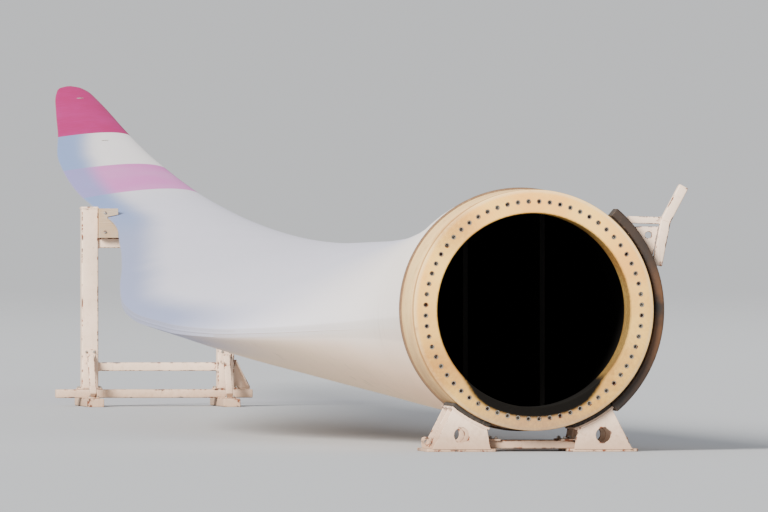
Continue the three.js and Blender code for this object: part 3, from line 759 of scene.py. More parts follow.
@dataclass(frozen=True)
class Laminate(Finish):
    """Bare glass-fibre laminate of the root ring, with a black crescent low in the mouth and a bore painted
    dark as shade.

    Plies show as rings on the face: a sine of the distance from the root's axis, bent by noise.
    Resin lies in spots, runs, two stains and the groove behind the face. Dirt and painted shade
    darken it low and on the leading side, the shade on the side away from the key light.
    """

    name = slot = "laminate"
    cream: Colour = paint("ffcf6e")
    peach: Colour = paint("fab85c")
    pale: Colour = paint("e9cfa0")
    resin: Colour = paint("a8763f")
    # Brown of soiling, and of painted shade low and on the leading side.
    dirt_and_shade: Colour = paint("6e4a2a")
    # Near black, for the crescent low in the mouth and the bore's painted shade.
    deep: Colour = paint("0c0a08")
    grime: Colour = paint("8a7468")
    stains: tuple[Triple, ...] = ((-1.03, 0.05, 0.8), (-0.84, 0.05, 2.24))
    stain_reach: Range = (0.42, 0.08)
    rim: Range = (1.155, 1.19)
    groove_front: Range = (0.03, 0.07)
    groove_back: Range = (0.2, 0.13)
    groove_rim: Range = (1.17, 1.185)
    behind_face: Range = (0.02, 0.1)
    foot: Range = (0.5, 0.25)
    # Where soiling and painted shade darken the ring, from none high up to full low down.
    dirt_and_shade_part: Range = (2.25, 0.35)
    sill: Range = (1.09, 1.05)
    sill_low: Range = (0.42, 0.8)
    # Where the bore is painted near black as the shade deep inside the blade.
    bore: Range = (ROOT_RADIUS - 0.01, ROOT_RADIUS - 0.03)
    unlit: Range = (0.44, 0.6)
    ply_beat: float = 520.0
    weave_beat: float = 260.0

    def dress(self, graph: Graph) -> bpy.types.Material:
        """Lays plies, rim, spots, soiling and painted shade, stains, groove, grime, runs, sill and bore in
        turn.
        """
        x, y, z = graph.parts(graph.place)
        radius = graph.length((graph.place - (0.0, 0.0, ROOT_HEIGHT)) * (1.0, 0.0, 1.0))
        cloud = graph.noise(1.4, 4.0)
        fine = graph.noise(30.0, 6.0, 0.7)
        bent = radius + (graph.noise(5.0, 3.0) - 0.5) * 0.012
        plies = (bent * self.ply_beat).sine() * 0.5 + 0.5
        weave = ((y + z) * self.weave_beat).sine() * ((y - z) * self.weave_beat).sine() * y.rise(0.004, 0.02)
        ragged = fine.rise(0.1, 0.5)

        spots = graph.noise(7.0, 6.0, 0.68).rise(0.58, 0.72)
        # Darker low and on the leading side: soiling and painted shade, away from the key light.
        low = (z - x * 0.2).rise(*self.dirt_and_shade_part) * (fine.rise(0.2, 0.8) * 0.3 + cloud * 1.2)
        near = [graph.length(graph.place - stain).rise(*self.stain_reach) for stain in self.stains]
        groove = y.rise(*self.groove_front) * y.rise(*self.groove_back) * radius.rise(*self.groove_rim)
        runs = graph.noise((9.0, 2.0, 0.7), 4.0).rise(0.54, 0.7) * y.rise(*self.behind_face)
        # A near-black crescent low round the mouth, rougher than the rest.
        sill = (radius + z.rise(*self.sill_low) * 0.1 + (fine - 0.5) * 0.03).rise(*self.sill)
        base = graph.layers(
            graph.blend(cloud.rise(0.36, 0.64), self.cream, self.peach),
            (plies.power(3.0) * 0.22, self.resin),
            (radius.rise(*self.rim) * 0.55, self.pale),
            (spots * 0.4, self.resin),
            (low * 0.8 + fine.rise(0.6, 0.8) * 0.18, self.dirt_and_shade),
            *((stain * fine.rise(0.1, 0.6) * 0.6, self.resin) for stain in near),
            (groove * ragged * 0.8, self.resin),
            (z.rise(*self.foot) * ragged * 0.5, self.grime),
            (runs * 0.35, self.resin),
            (sill, self.deep),
            # Painted shade: past about half a metre in, the bore goes near black.
            (radius.rise(*self.bore) * y.rise(*self.unlit), self.deep),
        )
        normal = graph.bump(plies * 0.4 + fine * 0.8 + weave * 0.15, 0.0012)
        return graph.finish(base, 0.5 + fine * 0.3 + sill * 0.35, normal, Specular_IOR_Level=0.15)


@dataclass(frozen=True)
class DarkInside(Finish):
    """Foam-cored panel of the webs, nearly black because no light reaches it."""

    name = slot = "web_panel"
    light: Colour = paint("120f0c")
    dark: Colour = paint("060504")

    def dress(self, graph: Graph) -> bpy.types.Material:
        """Resin clouds mottle it, and painted shade darkens it with depth into the blade."""
        y = graph.parts(graph.place)[1]
        cloud = graph.noise(3.0, 5.0)
        # Painted shade: darker with depth into the blade.
        base = graph.blend(cloud * 0.6 + y.rise(2.0, 6.0) * 0.6, self.light, self.dark)
        return graph.finish(base, 0.8, graph.bump(cloud + (y * 60.0).sine() * 0.2, 0.002))


@dataclass(frozen=True)
class StandPaint(Finish):
    """Off-white paint on welded steel, chipped to rust at the edges and muddy near the ground."""

    name = slot = "stand_paint"
    white: Colour = paint("f0d5be")
    grey: Colour = paint("dac0aa")
    rust: Colour = paint("7a3d1e")
    steel: Colour = paint("4a423d")
    mud: Colour = paint("8f6a4c")
    chip_level: Range = (0.66, 0.685)
    rust_level: Range = (0.59, 0.68)
    splash_height: Range = (0.42, 0.02)

    def dress(self, graph: Graph) -> bpy.types.Material:
        """Chips come where noise and the edge's wear together pass a level, with rust runs below."""
        z = graph.parts(graph.place)[2]
        cloud = graph.noise(1.3, 4.0)
        fine = graph.noise(22.0, 6.0, 0.65)
        patches = graph.noise(9.0, 8.0, 0.7) + graph.value("wear") * 0.13
        chips = patches.rise(*self.chip_level)
        runs = graph.noise((24.0, 24.0, 1.1), 4.0).rise(0.57, 0.74) * cloud.rise(0.45, 0.65)
        splash = (z + (fine - 0.5) * 0.35).rise(*self.splash_height)
        base = graph.layers(
            graph.blend(cloud.rise(0.3, 0.7), self.white, self.grey),
            (runs * 0.4 + patches.rise(*self.rust_level) * 0.35, self.rust),
            (fine.rise(0.5, 0.8) * 0.2, self.mud),
            (splash * 0.6, self.mud),
            (chips, graph.blend(fine.rise(0.4, 0.6), self.rust, self.steel)),
        )
        rough = 0.42 + cloud * 0.12 + chips * 0.3 + splash * 0.3
        return graph.finish(base, rough, graph.bump(fine * 0.12 - chips * 0.5, 0.0008))


@dataclass(frozen=True)
class DarkPaint(Finish):
    """Near-black paint of the side arc, browner round its middle, dusty and scuffed."""

    name = slot = "dark_paint"
    black: Colour = paint("14110f")
    brown: Colour = paint("54351a")
    scuff: Colour = paint("5e4b39")
    middle_from: Range = (0.6, 1.2)
    middle_to: Range = (2.1, 1.5)

    def dress(self, graph: Graph) -> bpy.types.Material:
        """Brown clouds fade above and below the middle, dust lies on top, scuffs follow worn edges."""
        z = graph.parts(graph.place)[2]
        cloud = graph.noise(3.0, 5.0)
        fine = graph.noise(28.0, 6.0, 0.7)
        middle = z.rise(*self.middle_from) * z.rise(*self.middle_to) * 0.75 + 0.25
        dust = graph.upward().rise(0.2, 1.0) * fine.rise(0.35, 0.7)
        scuffs = (fine + graph.value("wear") * 0.12).rise(0.62, 0.72)
        base = graph.blend(cloud.rise(0.25, 0.6) * middle, self.black, self.brown)
        base = graph.blend(dust * 0.35 + scuffs * 0.5, base, self.scuff)
        return graph.finish(base, 0.55 + dust * 0.3, graph.bump(fine, 0.0006))


@dataclass(frozen=True)
class Rubber(Finish):
    """Dusty black rubber of pads and cradle lining."""

    name = slot = "rubber"
    black: Colour = paint("2a2622")
    dust: Colour = paint("75655a")

    def dress(self, graph: Graph) -> bpy.types.Material:
        """Fine grain with dust in its hollows."""
        fine = graph.noise(34.0, 7.0, 0.7)
        cloud = graph.noise(4.0, 4.0)
        base = graph.blend(fine.rise(0.45, 0.75) * cloud.rise(0.3, 0.7), self.black, self.dust)
        return graph.finish(base, 0.85, graph.bump(fine, 0.0007))


@dataclass(frozen=True)
class JointRing(Rubber):
    """Dark brown sealing compound round the joint between root collar and shell."""

    name = "joint_ring"
    black: Colour = paint("6f543c")
    dust: Colour = paint("94785a")


@dataclass(frozen=True)
class Timber(Finish):
    """Weathered sawn softwood, its grain along the boards."""

    name = slot = "timber"
    pale: Colour = paint("c2a684")
    dark: Colour = paint("9c7f5c")
    grey: Colour = paint("a89f93")

    def dress(self, graph: Graph) -> bpy.types.Material:
        """Rings are a sine of height bent by noise that is stretched along X."""
        y, z = graph.parts(graph.place)[1:]
        bend = graph.noise((0.5, 3.0, 4.0), 2.0)
        rings = ((z + y * 0.3 + bend * 0.3) * 420.0).sine() * 0.5 + 0.5
        fibre = graph.noise((3.0, 70.0, 70.0), 4.0)
        base = graph.blend(rings * 0.5 + fibre * 0.5, self.pale, self.dark)
        base = graph.blend(graph.noise(3.0, 5.0).rise(0.4, 0.7) * 0.55, base, self.grey)
        return graph.finish(base, 0.8, graph.bump(rings * 0.5 + fibre, 0.0009))


@dataclass(frozen=True)
class Steel(Finish):
    """Zinc-plated steel of bolts and threaded inserts, with some rust."""

    name = "steel"
    slot = "stand_paint"
    zinc: Colour = paint("bab6ae")
    rust: Colour = paint("6e3f22")

    def dress(self, graph: Graph) -> bpy.types.Material:
        """Rust grows from noise and takes the shine away."""
        spots = graph.noise(16.0, 6.0, 0.7).rise(0.5, 0.62)
        base = graph.blend(spots, self.zinc, self.rust)
        fine = graph.noise(60.0, 3.0)
        return graph.finish(base, 0.35 + spots * 0.45, graph.bump(fine, 0.0003), Metallic=0.75)


class Column(Enum):
    """Columns of the table of blade stations."""

    CHORD = 1
    LEAD = 2
    THICKNESS = 3
    TWIST = 4
    ROUND = 5


class Side(Enum):
    """The two sides of the blade's section, by the sign of their height over the chord line."""

    TOP = 1
    BOTTOM = -1


# One row for each station: its distance from the root, its chord, how far its leading edge lies
# from the blade's axis, its thickness as a share of the chord, its twist in degrees, and how much
# of it is a circle.
STATIONS = np.array([
    (0, 2.4, 1.2, 1, 10, 1),
    (1.3, 2.4, 1.2, 1, 10, 1),
    (3, 2.47, 1.21, 0.945, 10, 0.78),
    (5, 2.78, 1.2, 0.775, 9.5, 0.42),
    (7, 3.24, 1.23, 0.59, 9, 0.18),
    (9, 3.62, 1.24, 0.46, 8.5, 0.07),
    (11.5, 3.82, 1.21, 0.385, 7.5, 0),
    (13.5, 3.8, 1.14, 0.345, 6.8, 0),
    (16, 3.64, 1.04, 0.32, 6, 0),
    (20, 3.15, 0.85, 0.285, 4.5, 0),
    (25, 2.48, 0.66, 0.26, 3, 0),
    (30, 1.92, 0.54, 0.24, 2, 0),
    (35, 1.5, 0.475, 0.22, 1.2, 0),
    (40, 1.41, 0.44, 0.185, 0.6, 0),
    (45, 1.2, 0.44, 0.175, 0.3, 0),
    (49, 0.88, 0.46, 0.175, 0.1, 0),
    (52, 0.66, 0.48, 0.18, 0, 0),
    (54, 0.46, 0.46, 0.18, 0, 0),
    (54.7, 0.3, 0.4, 0.18, 0, 0),
    (55, 0.08, 0.3, 0.18, 0, 0),
])


def station(column: Column, y: Array) -> Array:
    """A value of the blade's section along its length.

    Args:
        column: Which value.
        y: Distances from the root face.

    Returns:
        The value at each: cubic pieces between stations, whose slopes are the harmonic means
        of the neighbouring slopes.
    """
    at, value = STATIONS[:, 0], STATIONS[:, column.value]
    rise = np.diff(value) / np.diff(at)
    total = rise[:-1] + rise[1:]
    product = rise[:-1] * rise[1:]
    inner = np.where(product > 0, 2 * product / np.where(product > 0, total, 1), 0)
    slope = np.concatenate([rise[:1], inner, rise[-1:]])
    i = np.clip(np.searchsorted(at, y) - 1, 0, len(at) - 2)
    span = at[i + 1] - at[i]
    t = np.clip((y - at[i]) / span, 0, 1)
    held = value[i] * (2 * t**3 - 3 * t**2 + 1) + value[i + 1] * (3 * t**2 - 2 * t**3)
    return held + span * (slope[i] * (t**3 - 2 * t**2 + t) + slope[i + 1] * (t**3 - t**2))


def smooth_step(value: Array, low: float, high: float) -> Array:
    """A smooth rise from 0 at low to 1 at high."""
    t = np.clip((value - low) / (high - low), 0, 1)
    return t * t * (3 - 2 * t)


@dataclass
class RotorBlade:
    """The blade: laminate root ring with its inserts, joint ring, skin, webs and receptors."""

    axis_slope: float = 0.003
    tip_rise: float = 2.31
    rise_power: float = 2.6
    wall: float = 0.055
    wall_share: float = 0.2
    root_edge: float = 0.09
    tip_edge: float = 0.012
    edge_part: Range = (11.0, 35.0)
    pressure_share: float = 0.4
    bond_share: float = 0.1
    inside_end: float = 46.0
    inside_rows: int = 90
    side_spans: int = 34
    rows: int = 230
    crowding: float = 0.45
    tip_from: float = 53.0
    tip_rows: int = 26
    out_of_reach: float = 9.0
    bore_radius: float = 0.965
    bore_straight: float = 0.5
    end_wall: float = 0.06
    chamfer: float = 0.012
    groove_at: float = 0.1
    groove_depth: float = 0.003
    insert_count: int = 64
    insert_radius: float = 0.026
    insert_depth: float = 0.12
    insert_bevel: float = 0.004
    thread_share: float = 0.6
    thread_depth: float = 0.0015
    thread_pitch: float = 0.006
    cell_spans: int = 6
    seal_profile: tuple[Range, ...] = (
        (1.201, 1.161), (1.211, 1.165), (1.218, 1.178), (1.22, 1.2),
        (1.22, 1.222), (1.217, 1.24), (1.209, 1.255), (1.201, 1.259),
    )
    bead_part: Range = (4.0, 44.0)
    bead_height: float = 0.12
    bead_width: float = 0.45
    receptors_at: Range = (47.2, 53.2)
    receptor_share: float = 0.42
    receptor_radius: float = 0.045
    receptor_profile: tuple[Range, ...] = (
        (1, -0.004), (1, 0.0015), (0.94, 0.003), (0.3, 0.003), (0.25, 0.0015),
    )

    @property
    def bolt_radius(self) -> float:
        """Radius of the circle of inserts."""
        return (self.bore_radius + ROOT_RADIUS) / 2

    def axis_height(self, y: Array | float) -> Array | float:
        """Height of the blade's axis: a slight slope plus a bend that grows towards the tip."""
        return ROOT_HEIGHT + self.axis_slope * y + self.tip_rise * (y / BLADE_LENGTH) ** self.rise_power

    def skin_points(self, y: Array, s: Array, sign: Array, inset: Array | float, bond: float = 0.0) -> Array:
        """Points of the blade's surface.

        Args:
            y: Distances from the root face, one for each row.
            s: Share of the chord from the leading edge, one for each column.
            sign: 1 on the upper side and -1 on the lower one, for each column.
            inset: How far in from the outer surface each row lies.
            bond: Share of the chord given up at the rear.

        Returns:
            Rows of points. The section is an aerofoil of the station's thickness, blended into
            a circle by the station's roundness, with a blunt trailing edge, turned by its twist.
        """
        y = y[:, None]
        chord, lead = station(Column.CHORD, y), station(Column.LEAD, y)
        roundness = station(Column.ROUND, y)
        inset = np.broadcast_to(inset, y.shape[:1])[:, None]
        depth = station(Column.THICKNESS, y) * chord
        length = chord - 2 * inset - bond * chord * (1 - roundness)
        aerofoil = 5 * (0.2969 * np.sqrt(s) - 0.126 * s - 0.3516 * s**2 + 0.2843 * s**3 - 0.1036 * s**4)
        rounded_part = np.sqrt(np.maximum(0, 0.25 - (s - 0.5) ** 2))
        half = aerofoil * (1 - roundness) + rounded_part * roundness
        top = self.pressure_share + (0.5 - self.pressure_share) * roundness
        share = np.where(sign > 0, top, 1 - top)
        edge = self.root_edge + (self.tip_edge - self.root_edge) * smooth_step(y, *self.edge_part)
        edge = np.maximum(np.minimum(edge * (1 - roundness), depth / 3) / 2, 2 * GAP)
        edge = np.where(inset > 0, GAP, edge)
        x = lead - inset - s * length
        z = sign * (2 * (share * depth - inset) * half + s**2 * edge)
        turn = np.radians(station(Column.TWIST, y))
        height = self.axis_height(y)
        return np.stack([
            x * np.cos(turn) - z * np.sin(turn),
            np.broadcast_to(y, x.shape),
            x * np.sin(turn) + z * np.cos(turn) + height,
        ], -1)

    def section_line(self, y: float, s: Array, side: Side) -> Array:
        """The section's x and z at one y, on one side, at shares of the chord."""
        return self.skin_points(np.array([y]), s, np.full(s.shape, float(side.value)), 0.0)[0][:, [0, 2]]

    def skin(self) -> None:
        """The outer skin, open at the root, joined there to the inner side that the mouth shows.

        It follows skin_points, held inside the frame's box at the belly's widest place. A row
        runs from the trailing edge over the top and back, its chord shares closest at the edges.
        Each point knows its distance to both edges and whether it is on the inner side.
        """
        share = (1 - np.cos(np.pi * np.arange(self.side_spans + 1) / self.side_spans)) / 2
        s = np.concatenate([share[::-1], share[1:]])
        sign = np.repeat([1.0, -1.0], (self.side_spans + 1, self.side_spans))
        t = np.linspace(0, 1, self.rows)
        crowded = (1 - self.crowding) * t + self.crowding * t**2
        body = SHELL_START + (self.tip_from - SHELL_START) * crowded
        turn = np.linspace(0, np.pi / 2, self.tip_rows + 1)[1:]
        y = np.concatenate([body, self.tip_from + (BLADE_LENGTH - self.tip_from) * np.sin(turn)])
        outer = self.skin_points(y, s, sign, 0.0)
        outer[..., 0] = np.maximum(outer[..., 0], LOWEST_X)
        inner_y = SHELL_START + (self.inside_end - SHELL_START) * np.linspace(0, 1, self.inside_rows)
        chord = station(Column.CHORD, inner_y)
        wall = np.minimum(self.wall, self.wall_share * station(Column.THICKNESS, inner_y) * chord)
        inner = self.skin_points(inner_y, s, sign, wall, self.bond_share)
        surface = Surface()
        points = np.concatenate([inner[::-1], outer])
        surface.grid(points)
        chords = np.concatenate([chord[::-1], station(Column.CHORD, y)])[:, None]
        inside = (np.arange(len(points)) < self.inside_rows)[:, None]
        run = np.cumsum(np.linalg.norm(np.diff(points, axis=1, prepend=points[:, :1]), axis=2), axis=1)
        far = self.out_of_reach
        values = {
            "leading_gap": (np.where(inside, far, np.abs(run - run[:, [self.side_spans]])), far),
            "trailing_gap": (np.where(inside, far, (1 - s) * chords), far),
            "inner": (np.broadcast_to(inside, points.shape[:2]).astype(float), 1.0),
        }
        extra = {key: np.append(value.ravel(), [first, 0.0]) for key, (value, first) in values.items()}
        surface.piece("blade_skin", Gelcoat(), "pressure_shell", "suction_shell", "tip_cap", extra=extra)

    def root_ring(self) -> None:
        """The laminate ring: a turned body whose face is cut by the insert holes.

        Each insert has a cell of the face round it: a grid whose rows come up the hole and go out
        to the cell's four sides, where the cells meet each other and the turned body.
        """
        surface = Surface()
        pitch = 2 * np.pi / self.insert_count
        lip = self.chamfer * 0.7
        low, high = self.bore_radius + lip, ROOT_RADIUS - self.chamfer
        step = np.linspace(-1, 1, self.cell_spans + 1)[:-1]
        ones = np.ones(self.cell_spans)
        sides = ((ones, step), (-step, ones), (-ones, -step), (step, -ones))
        square = np.concatenate([np.stack(side, -1) for side in sides])
        reach = np.where(square[:, 1] < 0, self.bolt_radius - low, high - self.bolt_radius)
        sides = np.stack([square[:, 0] * pitch * self.bolt_radius / 2, reach * square[:, 1]], -1)
        hole = self.insert_radius * unit(sides)
        shares = np.array([0.0, 0.0, 0.0, 0.3, 1.0])[:, None, None]
        cell = hole + (sides - hole) * shares
        depth = np.array([self.insert_depth, self.insert_bevel, 0.0, 0.0, 0.0])[:, None]
        for number in range(self.insert_count):
            theta = (number + 0.5) * pitch + cell[..., 0] / self.bolt_radius
            surface.grid(arc_point(self.bolt_radius + cell[..., 1], theta, depth), caps=(True, False))

        theta = np.arange(self.insert_count * self.cell_spans) / self.cell_spans * pitch
        end = SHELL_START - GAP
        soft = 0.02
        flare = (ROOT_RADIUS - self.end_wall - self.bore_radius) / (end - self.bore_straight)
        corner, groove, slope = self.chamfer * 0.3, ROOT_RADIUS - self.groove_depth, 0.005
        profile = np.array([
            (high, 0.0),
            (ROOT_RADIUS - corner, corner),
            (ROOT_RADIUS, self.chamfer),
            (ROOT_RADIUS, self.groove_at - 2 * slope),
            (groove, self.groove_at - slope),
            (groove, self.groove_at + slope),
            (ROOT_RADIUS, self.groove_at + 2 * slope),
            (ROOT_RADIUS, 0.6),
            (ROOT_RADIUS, 1.1),
            (ROOT_RADIUS, end),
            (ROOT_RADIUS - self.end_wall, end),
            (self.bore_radius + soft * flare, self.bore_straight + soft),
            (self.bore_radius, self.bore_straight),
            (self.bore_radius, self.bore_straight - soft),
            (self.bore_radius, 0.1),
            (self.bore_radius, lip),
            (low, 0.0),
        ])
        surface.grid(arc_point(profile[:, :1], theta[None], profile[:, 1:]), caps=(False, False))
        surface.piece("root_ring", Laminate(), "root_laminate")

    def inserts(self) -> None:
        """A threaded steel sleeve in each hole of the root face, a little below the face."""
        surface = Surface()
        outer, thread = self.insert_radius - GAP, self.insert_radius * self.thread_share
        profile = [
            (outer, 0.1),
            (outer, 0.006),
            (outer - 0.003, 0.003),
            (thread + 0.004, 0.003),
            *((thread - self.thread_depth * (i % 2), 0.012 + self.thread_pitch * i) for i in range(6)),
            (0.001, 0.06),
        ]
        for theta in (np.arange(self.insert_count) + 0.5) * 2 * np.pi / self.insert_count:
            origin = arc_point(self.bolt_radius, theta, 0.0)
            surface.turned(origin, LENGTHWAYS, circle(1.0, 14), profile, 0.0)
        surface.piece("root_inserts", Steel())

    def joint_ring(self) -> None:
        """The low ring round the joint, turned from a rounded profile of radius and y."""
        radius, y = np.array(self.seal_profile).T[..., None]
        surface = Surface()
        surface.grid(arc_point(radius, np.linspace(0, 2 * np.pi, 240, endpoint=False), y), loop=True)
        surface.piece("joint_seal", JointRing(), "root_seal")

    def trailing_bead(self) -> None:
        """The line of adhesive along the middle of the blunt trailing edge."""
        y = np.linspace(*self.bead_part, 160)
        ends = self.skin_points(y, np.array([1.0, 1.0]), np.array([1.0, -1.0]), 0.0)
        size = self.bead_height * np.linalg.norm(ends[:, 0] - ends[:, 1], axis=1)
        surface = Surface()
        surface.grid(swept(ends.mean(1), size[:, None, None] * circle(1.0, 8), (self.bead_width, 0, 0), UP))
        extra = {"leading_gap": np.full(surface.size, self.out_of_reach)}
        surface.piece("trailing_bead", Gelcoat(), extra=extra)

    def receptors(self) -> None:
        """Round metal lightning receptors, two on each side near the tip."""
        surface = Surface()
        step = np.array([0.0, 0.02])
        for y in self.receptors_at:
            for side in Side:
                patch = self.skin_points(y + step, self.receptor_share + step, np.full(2, side.value), 0.0)
                normal = np.cross(patch[1, 0] - patch[0, 0], patch[0, 1] - patch[0, 0])
                normal *= np.sign(normal[2]) * side.value
                surface.turned(patch[0, 0], normal, circle(self.receptor_radius, 24), self.receptor_profile)
        surface.piece("lightning_receptors", Steel())

    def build(self) -> None:
        """Builds the blade's pieces and dresses the webs."""
        for make in (self.skin, self.root_ring, self.inserts, self.joint_ring):
            make()
        self.trailing_bead()
        self.receptors()
        for name in ("leading_web", "trailing_web"):
            dress_node(name, DarkInside())


def dress_node(name: str, finish: Finish) -> None:
    """Gives a CAD node that stays as it is a finish of its own."""
    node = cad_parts[name]
    node.data.materials.clear()
    node.data.materials.append(finish.made())


@dataclass
class RootStand:
    """The low stand under the root: two welded saddles, their pads and ties, the side arc and its arm.

    Angles are in degrees: those of an arc from straight down, those of the arm above level.
    """

    start: float = 0.12
    length: float = 0.92
    arc: Range = (20.0, 40.0)
    pad: float = 0.045
    plate: float = 0.024
    plate_slack: float = 0.012
    sunk: float = 0.002
    foot: float = 0.03
    foot_span: Range = (0.36, 1.06)
    foot_hole: float = 0.02
    foot_hole_x: float = 0.29
    foot_hole_inset: float = 0.12
    gusset_span: Range = (0.42, 1.0)
    gusset_thickness: float = 0.03
    gussets: int = 3
    gusset_hole: float = 0.075
    gusset_hole_at: Range = (0.71, 0.165)
    weld: float = 0.008
    thin_weld: float = 0.006
    eye_x: float = 0.985
    eye_thickness: float = 0.024
    eye_half: float = 0.055
    eye_height: float = 0.11
    eye_hole: float = 0.026
    tie: float = 0.08
    tie_inset: float = 0.2
    tie_overlap: float = 0.1
    tie_plate: float = 0.014
    tie_bolt_x: float = 0.055
    side_arc_to: float = 140.0
    side_arc_start: float = 0.1
    side_arc_width: float = 0.34
    side_arc_thickness: float = 0.12
    side_arc_lining: float = 0.022
    rivets_from_to_step: Triple = (52.0, 137.0, 14.0)
    rivet_clearance: float = 7.0
    rivet_y: float = 0.12
    rivet: float = 0.017
    rivet_profile: tuple[Range, ...] = ((1, -0.003), (1, 0.001), (0.7, 0.0021))
    arm: float = 0.1
    arm_corner: float = 0.014
    arm_foot: float = 18.0
    arm_lower: Range = (79.0, 0.49)
    arm_upper: Range = (62.0, 0.39)
    arm_cap: float = 0.012
    arm_foot_gap: float = 0.035
    brace: float = 0.07
    brace_corner: float = 0.01
    brace_foot: float = 43.0
    brace_gap: float = 0.052
    arm_gusset: float = 0.03
    arm_gusset_hole: float = 0.034
    arm_gusset_gap: float = 0.06

    @property
    def plate_inner(self) -> float:
        """Radius of the saddle plate's inner face."""
        return ROOT_RADIUS + self.pad + 2 * GAP

    @property
    def middle_y(self) -> float:
        """The y of the saddles' middle."""
        return self.start + self.length / 2

    @property
    def arm_y(self) -> float:
        """The y of the arm's middle."""
        return self.side_arc_start + self.side_arc_width / 2

    def saddle(self, sign: int) -> None:
        """One saddle: foot plate, gussets with holes, the curved plate, welds and a lashing eye.

        Args:
            sign: 1 for the leading side and -1 for the trailing one.
        """
        surface = Surface()
        name = "right" if sign > 0 else "left"
        outer = self.plate_inner + self.plate
        inner_x, outer_x = self.foot_span
        hole_y = self.length / 2 - self.foot_hole_inset
        holes = [
            circle(self.foot_hole, 14, (dx, dy), clockwise=True)
            for dx in (-self.foot_hole_x, self.foot_hole_x)
            for dy in (-hole_y, hole_y)
        ]
        foot = rounded_rectangle(outer_x - inner_x, self.length, 0.03)
        surface.plate([foot, *holes], ((inner_x + outer_x) / 2, self.middle_y, 0), LEVEL, self.foot)
        section = (self.plate, self.length - self.plate_slack, 0.005)
        surface.arc_bar(self.plate_inner + self.plate / 2, self.arc, self.middle_y, section, bevel=0.004)

        angle = np.radians(np.linspace(self.arc[1] - 1, self.arc[0] + 1, 12))
        arc = arc_point(outer - self.sunk, angle, 0.0)[:, [0, 2]]
        outline = np.vstack([[(x, self.foot - self.sunk) for x in self.gusset_span], arc])
        hole = circle(self.gusset_hole, 20, self.gusset_hole_at, clockwise=True)
        thick = self.gusset_thickness
        for share in np.linspace(0, 1, self.gussets):
            y = self.start + share * (self.length - thick) + thick
            surface.plate([outline, hole], (0, y, 0), UPRIGHT, thick)
            for face in (y - thick - 0.003, y + 0.003):
                surface.bead([(x, face, self.foot) for x in self.gusset_span], self.weld)
                surface.bead(arc_point(outer, angle, face), self.weld)
        half, top = self.eye_half, self.eye_height
        tab = rounded([(-half, -self.sunk), (half, -self.sunk), (half, top), (-half, top)], 0.03)
        ring = circle(self.eye_hole, 16, (0.0, 0.058), clockwise=True)
        eye_y = self.middle_y + self.length / 4
        surface.plate([tab, ring], (self.eye_x, eye_y, self.foot), UPRIGHT, self.eye_thickness)
        for face in (eye_y - self.eye_thickness - 0.002, eye_y + 0.002):
            surface.bead([(self.eye_x + dx, face, self.foot) for dx in (-0.03, 0.03)], self.thin_weld)
        surface.take_side(sign)
        surface.piece(f"saddle_{name}", StandPaint(), f"root_saddle_{name}")

        pad = Surface()
        section = (self.pad, self.length, 0.012)
        pad.arc_bar(ROOT_RADIUS + self.pad / 2 + GAP, self.arc, self.middle_y, section, bevel=0.008)
        pad.take_side(sign)
        pad.piece(f"pad_{name}", Rubber(), f"root_pad_{name}")

    def ties(self) -> None:
        """The two square tubes that tie the saddles, each with a bolted plate at both ends."""
        bolts = Surface()
        reach = self.foot_span[0] + self.tie_overlap
        z = self.foot + GAP + self.tie / 2
        strip = rounded_rectangle(0.2, 0.16, 0.02)
        for name, sign_y in (("front", -1), ("rear", 1)):
            surface = Surface()
            y = self.middle_y + sign_y * (self.length / 2 - self.tie_inset)
            surface.bar((-reach, y, z), (reach, y, z), (self.tie, self.tie, 0.012))
            for sign in (-1, 1):
                x = sign * (reach - 0.06)
                top = z + self.tie / 2 - self.sunk
                surface.plate([strip], (x, y, top), LEVEL, self.tie_plate)
                for dx in (-self.tie_bolt_x, self.tie_bolt_x):
                    bolts.bolt((x + dx, y, top + self.tie_plate), UP)
            surface.piece(f"tie_{name}", StandPaint(), f"root_tie_{name}")
        bolts.piece("tie_bolts", Steel())

    def side_arc(self) -> None:
        """The dark arm that hugs the root's leading side: a bent box section with a lining and rivets."""
        surface = Surface()
        inner, lining = ROOT_RADIUS + GAP, self.side_arc_lining
        box = self.side_arc_thickness - lining
        low, high = self.arc[1] + 0.03, self.side_arc_to
        section = (box, self.side_arc_width, 0.016)
        surface.arc_bar(inner + lining + box / 2, (low, high), self.arm_y, section)
        section = (lining, self.side_arc_width - 0.03, 0.006)
        surface.arc_bar(inner + lining / 2, (low + 0.6, high - 0.6), self.arm_y, section, bevel=0.004)
        surface.piece("side_arc_box", DarkPaint(), "side_arc")
        rivets = Surface()
        for degrees in np.arange(*self.rivets_from_to_step):
            if abs(degrees - 90 - self.arm_foot) < self.rivet_clearance:
                continue
            angle = math.radians(degrees)
            outward = (math.sin(angle), 0, -math.cos(angle))
            for dy in (-self.rivet_y, self.rivet_y):
                point = arc_point(inner + self.side_arc_thickness - 0.0022, angle, self.arm_y + dy)
                rivets.turned(point, outward, circle(self.rivet, 12), self.rivet_profile)
        rivets.piece("side_arc_rivets", Steel())

